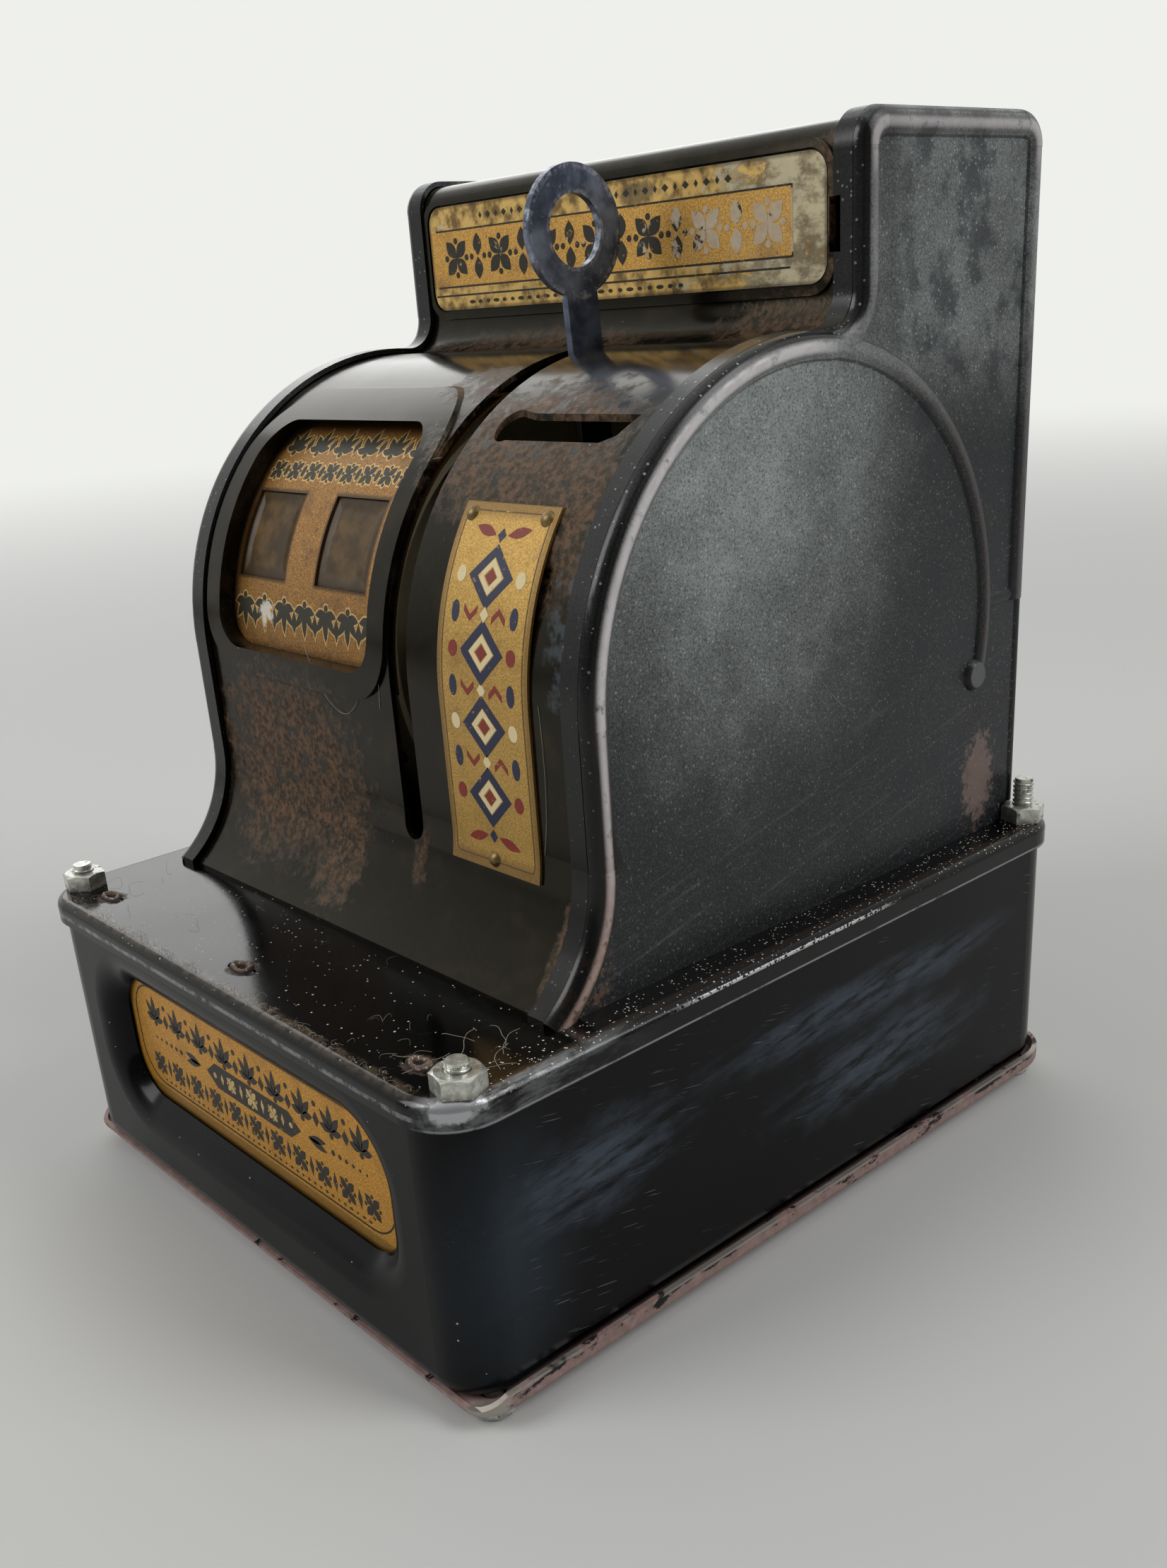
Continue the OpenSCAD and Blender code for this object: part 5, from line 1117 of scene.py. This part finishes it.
turn = fluff.add("FunctionNodeRandomValue", inputs, data_type="FLOAT_VECTOR")
size = fluff.add("FunctionNodeRandomValue", {2: 0.4, 3: 1.5, "Seed": calc("ADD", seed, 7)}, 1)
fluff.end(fluff.copies(places, strand, Rotation=turn, Scale=size))
beds = [
    ("front_edge_fluff", [(-50, -66.8), (50, -66.8), (50, -65.6), (-50, -65.6)], 2.2e6, 0.0009),
    ("lid_fluff", [(-50, -66), (52, -66), (50, -46), (-50, -46)], 0.014e6, 0.0017),
]
for number, (name, corners, density, length) in enumerate(beds):
    bed = bpy.data.meshes.new("bed")
    bed.from_pydata([(x / 1000, y / 1000, (LID_TOP - 0.02) / 1000) for x, y in corners], [], [(0, 1, 2, 3)])
    mesh = fluff.make(bed, density=density, length=length, thickness=0.000016,
                      seed=230 + number, material=lint.material)
    piece(name, mesh, lint)


def hair(name, points, radius):
    """One long fibre through points in millimetres."""
    curve = bpy.data.curves.new(name, "CURVE")
    curve.dimensions, curve.bevel_depth, curve.bevel_resolution = "3D", radius / 1000, 0
    curve.use_fill_caps = True
    line = curve.splines.new("NURBS")
    line.points.add(len(points) - 1)
    for knot, place in zip(line.points, points):
        knot.co = (*(c / 1000 for c in place), 1)
    line.use_endpoint_u, line.order_u, line.resolution_u = True, 4, 8
    mesh = baked(bpy.data.objects.new(name, curve))
    piece(name, mesh, lint, smooth=True)


skin_face = on_front(1.0)
front_knots = [(8, 34, 0.1), (3.5, 33, 0.6), (0.8, 27, 0.5), (1.2, 18, 0.3), (3.2, 8, 0.2)]
front_knots += [(4.5, 1, 0.15), (3.8, -4, 0.1)]
window_knots = [(-16, 4, 0.1), (-13, -2, 0.4), (-9, -6, 0.3), (-4, -7, 0.3), (-0.5, -2, 0.2), (0.6, 2, 0.1)]
hair("front_hair", [skin_face(*knot) for knot in front_knots], radius=0.035)
hair("window_hair", [skin_face(*knot) for knot in window_knots], radius=0.035)
chance = random.Random(240)
for number in range(9):
    x, y = chance.uniform(42, 54), chance.uniform(-62, -50)
    points = []
    heading = chance.uniform(0, 6.28)
    for step in range(6):
        lift = 0.5 * math.sin(step * 1.3 + number) ** 2 if 0 < step < 5 else 0
        points.append((x, y, LID_TOP + 0.06 + lift))
        heading += chance.uniform(-0.8, 0.8)
        x, y = x + 1.5 * math.cos(heading), y + 1.5 * math.sin(heading)
        x, y = min(max(x, 40), 56), min(max(y, -66), -46)
    hair(f"lid_hair_{number + 1}", points, radius=0.028)
side_knots = [(12, 91), (9.5, 88.5), (8.5, 86), (11, 84), (14, 80.5), (16, 79)]
hair("side_hair", [(50.48, y, z) for y, z in side_knots], radius=0.03)
narrow_knots = [(40.6, 2, 0.1), (41.4, -6, 0.2), (41, -14, 0.2), (39.6, -19, 0.1)]
hair("narrow_hair", [skin_face(*knot) for knot in narrow_knots], radius=0.03)


# Studio: a plain pale floor and background, with a bright wall side behind the bank and
# three soft lamps, and the camera where the photographer stood.
azimuth, elevation, roll = (math.radians(a) for a in (49.943, 22.038, -4.329))
forward = Vector((
    -math.sin(azimuth) * math.cos(elevation), math.cos(azimuth) * math.cos(elevation), -math.sin(elevation)
))
right = forward.cross(Vector((0, 0, 1))).normalized()
up = right.cross(forward)
turned_right = right * math.cos(roll) + up * math.sin(roll)
turned_up = up * math.cos(roll) - right * math.sin(roll)
camera_data = bpy.data.cameras.new("photo_camera")
camera_data.sensor_fit, camera_data.sensor_height, camera_data.lens = "VERTICAL", 36, 33.56
camera_data.shift_x, camera_data.shift_y = 0.01135, 0.0690
camera_data.clip_start = 0.01
camera = bpy.data.objects.new("photo_camera", camera_data)
axes = Matrix((turned_right, turned_up, -forward)).transposed().to_4x4()
camera.matrix_world = Matrix.Translation((0.18288, -0.15147, 0.13748)) @ axes
scene.collection.objects.link(camera)
scene.camera = camera

PALE, DIM = (0.86, 0.87, 0.84), (0.12, 0.125, 0.13)
scene.world = bpy.data.worlds.new("studio")
scene.world.use_nodes = True
sky = scene.world.node_tree
direction = add_node(sky, "ShaderNodeTexCoord").outputs["Generated"]
bright_side = fade(vector("DOT_PRODUCT", direction, (-0.76, 0.65, 0.25), "Value"), -0.7, 0.75)
rays = add_node(sky, "ShaderNodeLightPath").outputs
tone = linked("ShaderNodeMix", {0: bright_side, 6: DIM, 7: PALE}, 2, data_type="RGBA")
tone = linked("ShaderNodeMix", {0: rays["Is Camera Ray"], 6: tone, 7: PALE}, 2, data_type="RGBA")
direct = either(rays["Is Camera Ray"], rays["Is Glossy Ray"], rays["Is Transmission Ray"])
background = sky.nodes["Background"].inputs
sky.links.new(tone, background["Color"])
sky.links.new(blend(direct, 0.7, 1.0), background["Strength"])


def area_light(name, place, width, height, power, aim=0.08):
    """A soft rectangular lamp that points at a height on the bank's upright axis."""
    data = bpy.data.lights.new(name, "AREA")
    data.shape, data.size, data.size_y, data.energy = "RECTANGLE", width, height, power
    light = bpy.data.objects.new(name, data)
    light.location = place
    light.rotation_euler = (Vector((0, 0, aim)) - Vector(place)).to_track_quat("-Z", "Y").to_euler()
    scene.collection.objects.link(light)


area_light("key_window", (-0.4, -0.85, 0.8), width=0.6, height=0.7, power=7)
area_light("wall_glow", (-1.05, 0.55, 0.68), width=1.2, height=0.62, power=3.5)
area_light("fill_right", (0.85, 0.45, 0.85), width=0.55, height=0.8, power=8, aim=0.1)

bpy.ops.mesh.primitive_plane_add(size=8, location=(0, 0, 0))
floor = bpy.context.object
floor.name = "floor"
ground = Finish("floor", shine=0.2)
ground.colour = (0.52, 0.52, 0.51, 1)
ground.done(0.7)
far = fade(vector("LENGTH", ground.where, output="Value"), 350, 1500)
glow = ground.add("ShaderNodeEmission", {"Color": PALE, "Strength": 1.0}).outputs[0]
seen_far = both(ground.add("ShaderNodeLightPath").outputs["Is Camera Ray"], far)
shown = linked("ShaderNodeMixShader", {0: seen_far, 1: ground.surface.outputs[0], 2: glow})
ground.tree.links.new(shown, ground.tree.nodes["Material Output"].inputs["Surface"])
floor.data.materials.append(ground.material)
